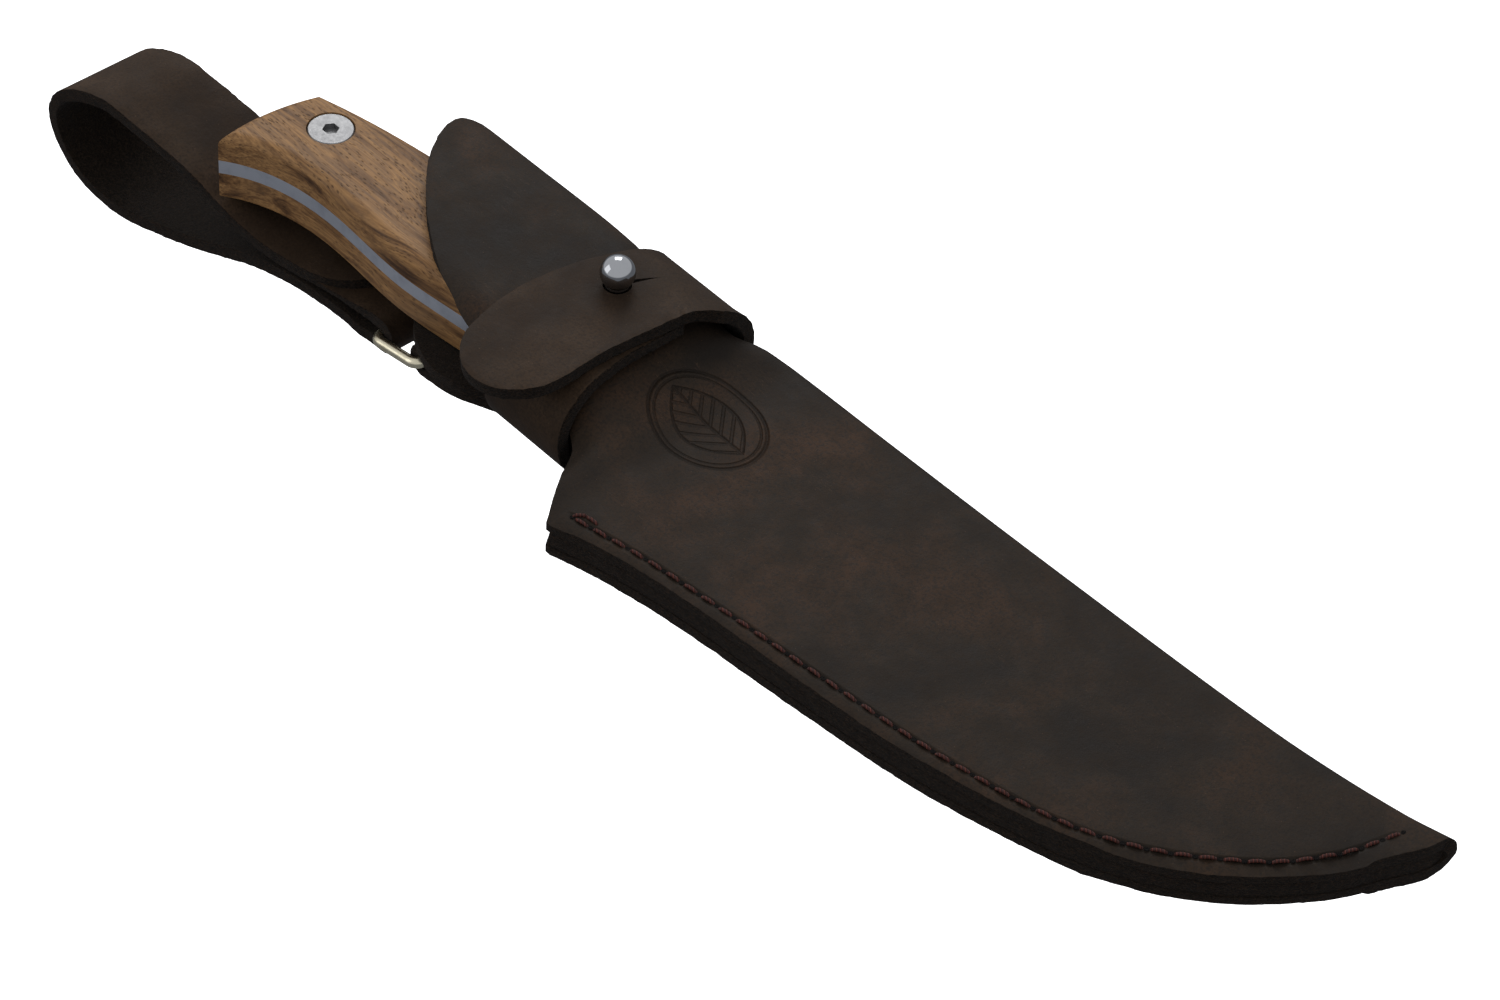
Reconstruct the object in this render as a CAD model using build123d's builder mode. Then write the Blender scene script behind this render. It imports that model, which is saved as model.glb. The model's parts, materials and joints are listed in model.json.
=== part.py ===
from build123d import *

import os
from math import cos, radians, sin

# Full-tang field knife in a folded leather sheath, with a button strap and a ring-hung belt loop.
#
# The set lies on its back. Z is up, X runs along the knife towards its point, and the origin is
# the middle of the flat toe of the hanger tab, where the sheath stands on the table.
# The knife lies a little nose down, so knife and sheath are drawn on the tilted plane `lie`:
# u along the knife (0 under the button strap), v across it (plus towards the spine), w above the
# middle of the blade.

# driving dimensions, in millimetres and degrees
tilt = 4.4
mid_height = 19.8
strap_to_toe = 8.6
tab_shift = 17.4

leather = 2.8
air = 0.3
pin_air = 0.1

tang_thick = 3.4
handle_thick = 16.8
handle_front = 3.0
front_round = 2.6
back_round = 0.8
scale_nose = 4.2
bolt_head = 10.0
bolt_seat = 10.3
bolt_shank = 5.0
hex_key = 3.2
pommel_bolt_at = (-84.4, -17.2)
guard_bolt_at = (-9.0, -10.5)

strap_width = 23.0
button_reach = -48.4
ball_at = (-3.0, -9.5)
ball_diameter = 7.3

welt_thick = 3.8
stitch_pitch = 4.45
stitch_length = 3.3
stitch_thick = 0.9

hanger_width = 24.6
wire = 2.5
bar_hole = 3.2
tab_leather = 2.4
tab_root = 15.6
loop_width = 22.6
ring_spacing = 14.0
ring_corner = 2.2
rivet_cap = 7.8
tab_rivet_cap = 7.0

# worked out from them
half_handle = handle_thick / 2
half_tang = tang_thick / 2
panel_in = half_handle + air
panel_out = panel_in + leather
edge_out = welt_thick / 2 + leather
slope = radians(tilt)

lie = Plane(
    origin=(-strap_to_toe, tab_shift, mid_height),
    x_dir=(cos(slope), 0, -sin(slope)),
    z_dir=(sin(slope), 0, cos(slope)),
)


def across(u):
    """The plane square to the knife at station u, with v to its right and w up."""
    return Plane(origin=lie.origin + lie.x_dir * u, x_dir=(0, 1, 0), z_dir=lie.x_dir)


def at(u, v, w):
    """A point of the tilted plane's frame, in the part's own frame."""
    return lie.from_local_coords((u, v, w))


def finish(name, label):
    """Labels one sub-part and writes its STEP file."""
    name.part.label = label
    export_step(name.part, f"parts/{label}.step")


os.makedirs("parts", exist_ok=True)

# ---------------------------------------------------------------- handle outline, shared
spine_line = [(-95.2, -11.6), (-72.6, -6.6), (-42, -2.8), (-14, 1.0), (handle_front, 3.8)]
belly_line = [(-97.0, -36.9), (-85.3, -30.9), (-67.6, -28.9), (-46.8, -29.9), (-22, -27.6)]
guard_tip = (handle_front, -30.6)


def handle_outline():
    """Closed outline of the tang and both scales, drawn inside an open BuildLine."""
    spine = Spline(*spine_line)
    Line(spine_line[-1], guard_tip)
    Spline(guard_tip, *reversed(belly_line))
    ThreePointArc(belly_line[0], (-97.8, -24.6), spine @ 0)


# ---------------------------------------------------------------- blade
blade_spine = [(handle_front, 3.8), (60, 5.6), (140, 5.2), (183, 5.8)]
heel = (12, -31.2)
blade_belly = [heel, (62, -33.4), (112, -30.6), (152, -18.4), (182.4, 5.0)]
grind_belly = [heel, (62, -19.0), (112, -16.5), (146, -8.5), (172, 4.0)]
grind_spine = [(handle_front, 3.8), (60, 5.6), (140, 5.2), (172, 5.3)]


def edge_outline():
    """Closed outline of the blade at its cutting edge, drawn inside an open BuildLine."""
    Spline(*blade_spine)
    Line(blade_spine[-1], blade_belly[-1])
    Spline(*reversed(blade_belly))
    Polyline(heel, guard_tip, blade_spine[0])


def grind_outline():
    """Closed outline of the blade's flat face above the grind, drawn inside an open BuildLine."""
    Spline(*grind_spine)
    Line(grind_spine[-1], grind_belly[-1])
    Spline(*reversed(grind_belly))
    Polyline(heel, guard_tip, grind_spine[0])


with BuildPart() as blade:
    with BuildSketch(lie.offset(-half_tang)):
        with BuildLine():
            handle_outline()
        make_face()
    extrude(amount=tang_thick)
    for side in (1, -1):
        with BuildSketch(lie.offset(side * 0.15)):
            with BuildLine():
                edge_outline()
            make_face()
        with BuildSketch(lie.offset(side * half_tang)):
            with BuildLine():
                grind_outline()
            make_face()
        loft(ruled=True)
    with BuildSketch(lie.offset(-0.15)):
        with BuildLine():
            edge_outline()
        make_face()
    extrude(amount=0.3)
    with BuildSketch(lie.offset(-half_tang)):
        with Locations(pommel_bolt_at, guard_bolt_at):
            Circle(bolt_shank / 2 + pin_air)
    extrude(amount=tang_thick, mode=Mode.SUBTRACT)
finish(blade, "blade")


# ---------------------------------------------------------------- walnut scales
def make_scale(side, edge_round):
    """One walnut scale: side is +1 for the front scale and -1 for the back one."""
    with BuildPart() as scale:
        with BuildSketch(lie.offset(side * half_tang)):
            with BuildLine():
                handle_outline()
            make_face()
        extrude(amount=side * (half_handle - half_tang))
        outer_face = scale.faces().sort_by(Axis((0, 0, 0), lie.z_dir * side))[-1]
        fillet(outer_face.edges(), edge_round)
        with BuildSketch(Plane(origin=at(0, 60, 0), x_dir=lie.x_dir, z_dir=(0, -1, 0))):
            with BuildLine():
                Polyline(
                    (handle_front - 12, side * (half_handle + 1)),
                    (handle_front + 1, side * (half_handle + 1)),
                    (handle_front + 1, side * scale_nose),
                    (handle_front - 12, side * (half_handle + 1)),
                )
            make_face()
        extrude(amount=120, mode=Mode.SUBTRACT)
        with BuildSketch(lie.offset(side * half_tang)):
            with Locations(pommel_bolt_at, guard_bolt_at):
                Circle(bolt_shank / 2 + pin_air)
        extrude(amount=side * handle_thick, mode=Mode.SUBTRACT)
        with BuildSketch(lie.offset(side * (half_handle - 2.0))):
            with Locations(pommel_bolt_at, guard_bolt_at):
                Circle(bolt_seat / 2)
        extrude(amount=side * 4, mode=Mode.SUBTRACT)
    return scale


finish(make_scale(1, front_round), "front_scale")
finish(make_scale(-1, back_round), "back_scale")


# ---------------------------------------------------------------- handle bolts
def make_screw(place):
    """Flat socket screw from the front: head, hex socket and shank."""
    with BuildPart() as screw:
        with BuildSketch(lie.offset(half_handle - 2.0)):
            with Locations(place):
                Circle(bolt_head / 2)
        extrude(amount=1.9)
        top_rim = screw.edges().sort_by(Axis((0, 0, 0), lie.z_dir))[-1]
        chamfer(top_rim, 0.3)
        with BuildSketch(lie.offset(-2.0)):
            with Locations(place):
                Circle(1.6)
        extrude(amount=half_handle)
        with BuildSketch(lie.offset(half_handle - 1.4)):
            with Locations(place):
                RegularPolygon(hex_key / 2, 6, major_radius=False)
        extrude(amount=3, mode=Mode.SUBTRACT)
    return screw


def make_sleeve_nut(place):
    """Sleeve nut from the back: flat socket head and a bored sleeve round the screw."""
    with BuildPart() as nut:
        with BuildSketch(lie.offset(-half_handle + 0.1)):
            with Locations(place):
                Circle(bolt_head / 2)
        extrude(amount=1.9)
        with BuildSketch(lie.offset(-half_handle + 1)):
            with Locations(place):
                Circle(bolt_shank / 2)
        extrude(amount=half_handle + 3)
        with BuildSketch(lie.offset(-half_handle + 3)):
            with Locations(place):
                Circle(1.7)
        extrude(amount=handle_thick, mode=Mode.SUBTRACT)
        with BuildSketch(lie.offset(-half_handle)):
            with Locations(place):
                RegularPolygon(hex_key / 2, 6, major_radius=False)
        extrude(amount=1.3, mode=Mode.SUBTRACT)
    return nut


for spot, place in (("pommel", pommel_bolt_at), ("guard", guard_bolt_at)):
    finish(make_screw(place), f"{spot}_screw")
    finish(make_sleeve_nut(place), f"{spot}_sleeve_nut")

# ---------------------------------------------------------------- sheath leather
# stations along the sheath: u, v of the fold, half thickness outside, corner radius of the fold
stations = [
    (-75, 11.2, panel_out, 9.4),
    (-54, 10.8, panel_out, 9.4),
    (-30, 11.1, panel_out, 9.4),
    (-17, 10.6, panel_out, 9.4),
    (-12.5, 9.2, panel_out, 9.4),
    (-4, 9.2, panel_out, 9.4),
    (12.5, 9.2, 9.3, 8.6),
    (20, 12.2, 7.3, 6.8),
    (30, 13.4, edge_out + 0.1, 4.5),
    (55, 13.9, edge_out, 4.4),
    (80, 14.3, edge_out, 4.4),
    (112, 15.1, edge_out, 4.4),
    (138, 15.9, edge_out, 4.4),
    (158, 16.9, edge_out, 4.4),
    (172, 18.3, edge_out, 4.4),
    (186, 20.4, edge_out, 4.4),
    (204, 24.0, edge_out, 4.4),
]
open_side = -80
pi4 = radians(45)


def folded_section(u, fold, half, corner):
    """Rounded end of a folded panel at station u, open-sided towards the belly."""
    with BuildSketch(across(u)) as section:
        with BuildLine():
            Line((open_side, -half), (fold - corner, -half))
            ThreePointArc(
                (fold - corner, -half),
                (fold - corner * (1 - cos(pi4)), -half + corner * (1 - cos(pi4))),
                (fold, -half + corner),
            )
            Line((fold, -half + corner), (fold, half - corner))
            ThreePointArc(
                (fold, half - corner),
                (fold - corner * (1 - cos(pi4)), half - corner * (1 - cos(pi4))),
                (fold - corner, half),
            )
            Polyline((fold - corner, half), (open_side, half), (open_side, -half))
        make_face()
    return section.sketch


edge_line = [
    (29.2, -55.0), (41.8, -51.6), (61.2, -48.2), (92, -45.2), (121.2, -41.5), (154.4, -32.5),
    (173.7, -20.8), (188.3, -4.4), (195.2, 10.8),
]
tip_corner = (198.2, 22.4)
beyond_fold = 40


def panel_outline(handle_end, notch):
    """Outline of one panel: handle_end runs from the fold to the strap, cut back to v = notch."""
    Spline(*edge_line)
    ThreePointArc(edge_line[-1], (198.3, 17.0), tip_corner)
    Polyline(tip_corner, (192, beyond_fold), (-54, beyond_fold), (-54, 12), handle_end[0])
    Spline(*handle_end)
    Polyline(handle_end[-1], (-13, notch), (13, notch), (15.6, -39.6), edge_line[0])


front_end = [(-54.6, 9.0), (-62.8, 7.6), (-66.6, 2.0), (-60.2, -10.5), (-46.8, -22), (-19.5, -35.6)]
back_end = [(-53.8, 8.6), (-56, 0), (-51, -14), (-42.8, -28.1), (-29.2, -33.6), (-17.5, -30.6)]

with BuildPart() as panel_plan:
    for outline, notch, height in ((front_end, -28, 20), (back_end, -20.5, -20)):
        with BuildSketch(lie):
            with BuildLine():
                panel_outline(outline, notch)
            make_face()
        extrude(amount=height)

with BuildPart() as sheath_leather:
    loft([folded_section(*station) for station in stations], ruled=True)
    hollow = [
        folded_section(u, fold - leather, half - leather, max(corner - leather, 0.4))
        for u, fold, half, corner in stations
    ]
    loft(hollow, ruled=True, mode=Mode.SUBTRACT)
    add(panel_plan.part, mode=Mode.INTERSECT)
    with BuildSketch(lie.offset(-panel_out - 1)):
        with Locations((2, -13.5), (2, -21.5)):
            Circle(1.6 + pin_air)
    extrude(amount=6, mode=Mode.SUBTRACT)
    with BuildSketch(lie.offset(-panel_in - 0.9)):
        with Locations((2, -13.5), (2, -21.5)):
            Circle(tab_rivet_cap / 2 + pin_air)
    extrude(amount=3, mode=Mode.SUBTRACT)
finish(sheath_leather, "sheath_leather")

# ---------------------------------------------------------------- welt
welt_inner = [(186.6, 15.5), (180.6, -1.0), (167.5, -14.6), (150, -24.8), (119.6, -33.2),
              (91, -36.8), (60, -39.9), (33.5, -43.5)]
with BuildPart() as welt:
    with BuildSketch(lie.offset(-welt_thick / 2)):
        with BuildLine():
            Spline(*edge_line)
            Polyline(edge_line[-1], (197.0, 14.8), welt_inner[0])
            Spline(*welt_inner)
            Line(welt_inner[-1], edge_line[0])
        make_face()
    extrude(amount=welt_thick)
finish(welt, "welt")

# ---------------------------------------------------------------- seam thread
seam_line = [(31.8, -50.4), (54.8, -46.1), (91.8, -41.9), (124.4, -37.8), (154.3, -29.8),
             (176.2, -13.6), (187.4, 2.0), (191.2, 15.0)]
with BuildPart() as seam_thread:
    for height in (edge_out - 0.1, -edge_out + 0.35):
        with BuildLine(lie.offset(height), mode=Mode.PRIVATE) as seam:
            Spline(*seam_line)
        seam_wire = seam.wires()[0]
        count = int(seam_wire.length / stitch_pitch)
        steps = [(k + 0.5) / count for k in range(count)]
        with Locations(*[seam_wire.location_at(step) for step in steps]):
            Cylinder(stitch_thick / 2, stitch_length)
finish(seam_thread, "seam_thread")

# ---------------------------------------------------------------- retention strap
strap_mid = panel_out + air / 2 + leather / 2 + 0.05
flap_mid = strap_mid + leather + air
hinge_turn = radians(30)
round_r = 15.6
round_centre = (-4.4, flap_mid - round_r)
strap_side = round_centre[0] + round_r


def round_point(turn, r=round_r):
    """A point of the strap's turn over the spine, turn radians past its top."""
    return (round_centre[0] + r * sin(turn), round_centre[1] + r * cos(turn))


with BuildPart() as retention_strap:
    with BuildSketch(across(-strap_width / 2)):
        with BuildLine() as strap_path:
            Line((-1.5, strap_mid), (-27, strap_mid))
            RadiusArc((-27, strap_mid), (-37, strap_mid - 10), -10)
            Spline(
                (-37, strap_mid - 10),
                (-32.9, -7),
                (-21, -strap_mid),
                tangents=[(0, -1), (1, 0)],
            )
            Line((-21, -strap_mid), (strap_side - 12, -strap_mid))
            RadiusArc((strap_side - 12, -strap_mid), (strap_side, -strap_mid + 12), -12)
            Line((strap_side, -strap_mid + 12), (strap_side, round_centre[1]))
            RadiusArc((strap_side, round_centre[1]), round_point(hinge_turn), -round_r)
        trace(line_width=leather)
    extrude(amount=strap_width)
    with BuildSketch(lie.offset(panel_out)):
        with Locations(ball_at):
            Circle(1.4 + pin_air)
    extrude(amount=6, mode=Mode.SUBTRACT)
    with BuildSketch(lie.offset(panel_out)):
        with Locations(ball_at):
            Circle(3.6 + pin_air)
    extrude(amount=strap_mid - leather / 2 + 0.9 - panel_out, mode=Mode.SUBTRACT)
    with BuildSketch(lie.offset(-panel_out - 8)):
        with Locations((2, -13.5), (2, -21.5)):
            Circle(1.6 + pin_air)
    extrude(amount=8, mode=Mode.SUBTRACT)
finish(retention_strap, "retention_strap")

# ---------------------------------------------------------------- button end of the strap
with BuildPart() as button_end:
    with BuildSketch(across(-strap_width / 2)):
        with BuildLine():
            RadiusArc(round_point(hinge_turn), round_point(0), -round_r)
            Line(round_point(0), (button_reach, flap_mid))
        trace(line_width=leather)
    extrude(amount=strap_width)
    with BuildSketch(lie.offset(flap_mid - leather)):
        with Locations((0, button_reach + strap_width / 2)):
            Circle(strap_width / 2)
        with Locations((0, button_reach + strap_width / 2 + 30)):
            Rectangle(strap_width, 60)
    extrude(amount=2 * leather, mode=Mode.INTERSECT)
    with BuildSketch(lie.offset(flap_mid - leather)):
        with Locations((ball_at[0], ball_at[1] - 1.7)):
            SlotCenterToCenter(3.6, ball_diameter + 1.2, rotation=90)
    extrude(amount=2 * leather, mode=Mode.SUBTRACT)
finish(button_end, "strap_button_end")

# ---------------------------------------------------------------- ball stud and its screw
strap_top = strap_mid + leather / 2
with BuildPart() as ball_stud:
    with BuildSketch(lie.offset(strap_top)):
        with Locations(ball_at):
            Circle(3.4)
    extrude(amount=0.8)
    with BuildSketch(lie.offset(strap_top)):
        with Locations(ball_at):
            Circle(2.7)
    extrude(amount=5)
    with Locations(at(*ball_at, strap_top + 6.4)):
        Sphere(ball_diameter / 2)
    with BuildSketch(lie.offset(strap_top - 1)):
        with Locations(ball_at):
            Circle(1.4 + pin_air)
    extrude(amount=4.4, mode=Mode.SUBTRACT)
finish(ball_stud, "ball_stud")

strap_under = strap_mid - leather / 2
with BuildPart() as stud_screw:
    with BuildSketch(lie.offset(strap_under + 0.05)):
        with Locations(ball_at):
            Circle(3.6)
    extrude(amount=0.75)
    with BuildSketch(lie.offset(strap_under + 0.05)):
        with Locations(ball_at):
            Circle(1.4)
    extrude(amount=5.6)
finish(stud_screw, "stud_screw")

# ---------------------------------------------------------------- hanger tab
tab_top = -(strap_mid + leather / 2) - 0.1
tab_under = tab_top - 2 * tab_leather
tab_bar = (-38.5, (tab_top + tab_under) / 2)
fold_r = bar_hole / 2 + tab_leather
tab_rivets = [(2, -13.5), (2, -21.5)]

with BuildPart() as hanger_tab:
    side_view = Plane(origin=at(0, -tab_shift - hanger_width / 2, 0), x_dir=lie.x_dir,
                      z_dir=(0, 1, 0))
    with BuildSketch(side_view):
        with Locations((tab_bar[0], -tab_bar[1])):
            Circle(fold_r)
        with BuildLine():
            Polyline(
                (tab_bar[0], -tab_bar[1] - fold_r),
                (-29, -tab_top),
                (13, -tab_top),
                (13, -tab_under),
                (-29, -tab_under),
                (tab_bar[0], -tab_bar[1] + fold_r),
                close=True,
            )
        make_face()
        with Locations((tab_bar[0], -tab_bar[1])):
            Circle(bar_hole / 2, mode=Mode.SUBTRACT)
    extrude(amount=hanger_width)
    with BuildSketch(lie.offset(tab_under - 1)):
        with Locations(*tab_rivets):
            Circle(1.6 + pin_air)
    extrude(amount=8, mode=Mode.SUBTRACT)
    with BuildSketch(lie.offset(tab_under - 1)):
        with Locations(*tab_rivets):
            Circle(tab_rivet_cap / 2 + pin_air)
    extrude(amount=2.2, mode=Mode.SUBTRACT)
    with BuildSketch(lie.offset(tab_under - 1)):
        with BuildLine():
            Polyline(
                (-46, -tab_shift - hanger_width / 2),
                (-34, -tab_shift - hanger_width / 2),
                (-17, -tab_shift - tab_root / 2),
                (14, -tab_shift - tab_root / 2),
                (14, -tab_shift + tab_root / 2),
                (-17, -tab_shift + tab_root / 2),
                (-34, -tab_shift + hanger_width / 2),
                (-46, -tab_shift + hanger_width / 2),
                close=True,
            )
        make_face()
    extrude(amount=12, mode=Mode.INTERSECT)
    split(bisect_by=Plane.XY, keep=Keep.TOP)
finish(hanger_tab, "hanger_tab")

with BuildPart() as tab_rivet_pair:
    with BuildSketch(lie.offset(tab_under + 0.3)):
        with Locations(*tab_rivets):
            Circle(tab_rivet_cap / 2)
    extrude(amount=0.85)
    with BuildSketch(lie.offset(tab_under + 0.3)):
        with Locations(*tab_rivets):
            Circle(1.6)
    extrude(amount=-panel_in - 0.1 - tab_under - 0.3)
    with BuildSketch(lie.offset(-panel_in - 0.85)):
        with Locations(*tab_rivets):
            Circle(tab_rivet_cap / 2)
    extrude(amount=0.75)
finish(tab_rivet_pair, "tab_rivets")

# ---------------------------------------------------------------- hanger ring
bar_in_tab = at(tab_bar[0], -tab_shift, tab_bar[1])
ring_drop = radians(5.7)
bar_in_loop = bar_in_tab + Vector(-cos(ring_drop), 0, -sin(ring_drop)) * ring_spacing
ring_half = hanger_width / 2 + 0.6 + wire / 2
ring_plane = Plane(
    origin=bar_in_tab,
    x_dir=(-cos(ring_drop), 0, -sin(ring_drop)),
    z_dir=(sin(ring_drop), 0, -cos(ring_drop)),
)
with BuildPart() as hanger_ring:
    with BuildLine(ring_plane) as ring_path:
        FilletPolyline(
            (0, -ring_half),
            (ring_spacing, -ring_half),
            (ring_spacing, ring_half),
            (0, ring_half),
            radius=ring_corner,
            close=True,
        )
    ring_wire = ring_path.wires()[0]
    with BuildSketch(Plane(origin=ring_wire @ 0, z_dir=ring_wire % 0)):
        Circle(wire / 2)
    sweep()
finish(hanger_ring, "hanger_ring")

# ---------------------------------------------------------------- belt loop
loop_line = [
    (bar_in_loop.X, 1.9), (-68.5, 2.1), (-75, 4.6), (-86, 6.8), (-98, 6.2), (-113, 3.3),
    (-125, 1.9), (-136, 1.8), (-145.6, 6.0), (-150.8, 14.4), (-151.2, 22.0), (-146.8, 27.2),
    (-137.5, 29.6), (-127, 26.2), (-115, 21.6), (-107, 16.9), (-101, 13.6), (-93.5, 11.0),
    (-84, 9.9), (-71.5, 9.6),
]
curl_r = bar_hole / 2 + 2.7
drift = 0.19
near_edge = -hanger_width / 2 + 0.2
front_end_at = -82.6
loop_rivet_at = (-82.6, -3.1)

with BuildPart() as belt_loop:
    with BuildSketch(Plane.XZ.offset(-30)):
        with BuildLine():
            Spline(*loop_line)
        trace(line_width=leather)
        with BuildLine():
            Polyline(
                (bar_in_loop.X, bar_in_loop.Z + curl_r),
                (-74, 8.6),
                (-88, 8.6),
                (-74, 4.2),
                (bar_in_loop.X, bar_in_loop.Z - curl_r + 1),
                close=True,
            )
        make_face()
        with Locations((bar_in_loop.X, bar_in_loop.Z)):
            Circle(curl_r)
            Circle(bar_hole / 2, mode=Mode.SUBTRACT)
    extrude(amount=60)
    with BuildSketch(Plane.XY.offset(-5)):
        with BuildLine():
            Polyline(
                (-50, near_edge),
                (-66, near_edge),
                (-166, near_edge - 100 * drift),
                (-166, near_edge - 100 * drift + loop_width),
                (-66, near_edge + loop_width),
                (-50, near_edge + loop_width),
                close=True,
            )
        make_face()
    extrude(amount=45, mode=Mode.INTERSECT)
    with BuildSketch(Plane.XY.offset(8.45)):
        with Locations((front_end_at + 10, -1)):
            Rectangle(20, 40)
        with Locations((front_end_at, near_edge + loop_width / 2 + (front_end_at + 66) * drift)):
            Circle(loop_width / 2, mode=Mode.SUBTRACT)
    extrude(amount=3, mode=Mode.SUBTRACT)
    with BuildSketch(Plane.XY.offset(2)):
        with Locations(loop_rivet_at):
            Circle(1.6 + pin_air)
    extrude(amount=12, mode=Mode.SUBTRACT)
finish(belt_loop, "belt_loop")

with BuildPart() as loop_rivet:
    with BuildSketch(Plane.XY.offset(2.9)):
        with Locations(loop_rivet_at):
            Circle(rivet_cap / 2)
    extrude(amount=0.8)
    with BuildSketch(Plane.XY.offset(11.8)):
        with Locations(loop_rivet_at):
            Circle(rivet_cap / 2)
    extrude(amount=1.2)
    fillet(loop_rivet.edges().sort_by(Axis.Z)[-1], 0.9)
    with BuildSketch(Plane.XY.offset(3)):
        with Locations(loop_rivet_at):
            Circle(1.6)
    extrude(amount=9)
finish(loop_rivet, "loop_rivet")
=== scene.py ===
"""Looks of the sheathed field knife: oiled leather, walnut, satin steel, chrome and brass.

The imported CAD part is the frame. Leather pieces are built here from flat patterns that are wrapped
into place, and the wood and metal pieces keep their CAD shapes and get their finishes.
Working units are millimetres on the tilted plane of the knife: u along it towards the point,
v across it towards the spine, w above the middle of the blade.
"""

import json
import logging
import math
from dataclasses import dataclass, field
from enum import Enum
from typing import Callable, Iterable, Optional, Sequence

import bmesh
import bpy
import numpy as np
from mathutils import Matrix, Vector, noise


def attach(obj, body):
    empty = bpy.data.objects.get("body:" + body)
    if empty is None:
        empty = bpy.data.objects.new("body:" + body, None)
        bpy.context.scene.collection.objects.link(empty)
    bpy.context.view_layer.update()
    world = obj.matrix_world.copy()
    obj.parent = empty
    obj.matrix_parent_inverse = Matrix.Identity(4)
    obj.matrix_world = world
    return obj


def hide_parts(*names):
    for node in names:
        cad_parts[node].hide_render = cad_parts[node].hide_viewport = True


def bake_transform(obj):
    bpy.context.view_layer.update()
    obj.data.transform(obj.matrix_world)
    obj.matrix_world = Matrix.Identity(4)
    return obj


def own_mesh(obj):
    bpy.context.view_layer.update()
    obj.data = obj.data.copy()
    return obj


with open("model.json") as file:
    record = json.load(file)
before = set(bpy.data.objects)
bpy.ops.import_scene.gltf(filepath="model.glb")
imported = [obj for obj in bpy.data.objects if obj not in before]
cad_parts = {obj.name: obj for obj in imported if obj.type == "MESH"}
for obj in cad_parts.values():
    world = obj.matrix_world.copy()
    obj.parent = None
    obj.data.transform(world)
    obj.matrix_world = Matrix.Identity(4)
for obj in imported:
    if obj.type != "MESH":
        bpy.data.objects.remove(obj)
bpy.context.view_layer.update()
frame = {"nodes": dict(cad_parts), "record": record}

logging.basicConfig(level=logging.INFO, format="%(message)s")
LOG = logging.getLogger("field_knife")

MM = 0.001
Point = tuple[float, float]
Place = Callable[[float, float, float], Vector]
Colour = tuple[float, float, float]


# ------------------------------------------------------------------------------ geometry helpers
@dataclass(frozen=True)
class KnifePlane:
    """The tilted plane that knife and sheath are drawn on.

    Args:
        origin: the plane's origin in metres.
        along: unit vector towards the point of the knife.
        up: unit vector out of the front of the sheath.
    """

    origin: Vector
    along: Vector
    up: Vector

    @classmethod
    def from_record(cls, record: dict) -> "KnifePlane":
        """Finds the plane from the draw joint and the hinge of the strap.

        Args:
            record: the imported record.

        Returns:
            The plane, with its origin under the middle of the strap.
        """
        joints = {joint["name"]: joint for joint in record["behaviour"]["joints"]}
        along = -Vector(joints["knife_draw"]["axis"]).normalized()
        up = along.cross(Vector((0, 1, 0))).normalized()
        hinge = Vector(joints["strap_unbutton"]["pos_m"])
        hinge_v, hinge_w = 4.1, 15.3224
        origin = hinge - Vector((0, hinge_v * MM, 0)) - up * hinge_w * MM
        return cls(origin, along, up)

    def point(self, u: float, v: float, w: float) -> Vector:
        """World position, in metres, of a point given in millimetres on the plane."""
        return self.origin + self.along * u * MM + Vector((0, v * MM, 0)) + self.up * w * MM

    def local(self, world: Vector) -> tuple[float, float, float]:
        """A world position's u, v and w in millimetres."""
        away = world - self.origin
        return away.dot(self.along) / MM, away.y / MM, away.dot(self.up) / MM


PLANE = KnifePlane.from_record(frame["record"])


def smooth_line(points: Sequence[Point], step: float) -> list[Point]:
    """Catmull-Rom curve through a row of points.

    Args:
        points: the points it passes through.
        step: largest distance between two of its samples.

    Returns:
        Evenly spread samples, first and last point included.
    """
    row = [np.array(p, float) for p in points]
    row = [2 * row[0] - row[1], *row, 2 * row[-1] - row[-2]]
    made: list[Point] = []
    for before, start, end, after in zip(row, row[1:], row[2:], row[3:]):
        count = max(1, int(np.linalg.norm(end - start) / step))
        for k in range(count):
            t = k / count
            blend = (
                2 * start
                + (end - before) * t
                + (2 * before - 5 * start + 4 * end - after) * t * t
                + (3 * start - before - 3 * end + after) * t**3
            )
            made.append(tuple(blend / 2))
    made.append(tuple(row[-2]))
    return made


def straight_line(points: Sequence[Point], step: float) -> list[Point]:
    """Straight runs through a row of points, sampled at most step apart.

    Args:
        points: the corners, in order.
        step: largest distance between samples.

    Returns:
        The sampled points.
    """
    made: list[Point] = []
    for start, end in zip(points, points[1:]):
        count = max(1, int(math.dist(start, end) / step))
        made += [
            (start[0] + (end[0] - start[0]) * k / count, start[1] + (end[1] - start[1]) * k / count)
            for k in range(count)
        ]
    made.append(tuple(points[-1]))
    return made


def tidy_outline(points: Iterable[Point], least: float = 0.25) -> list[Point]:
    """Closed outline with points that nearly coincide left out.

    Args:
        points: the outline's points.
        least: smallest distance that is kept between two points.

    Returns:
        The outline without the close points.
    """
    kept: list[Point] = []
    for point in points:
        if not kept or math.dist(point, kept[-1]) > least:
            kept.append(point)
    while math.dist(kept[0], kept[-1]) <= least:
        kept.pop()
    return kept


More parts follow.
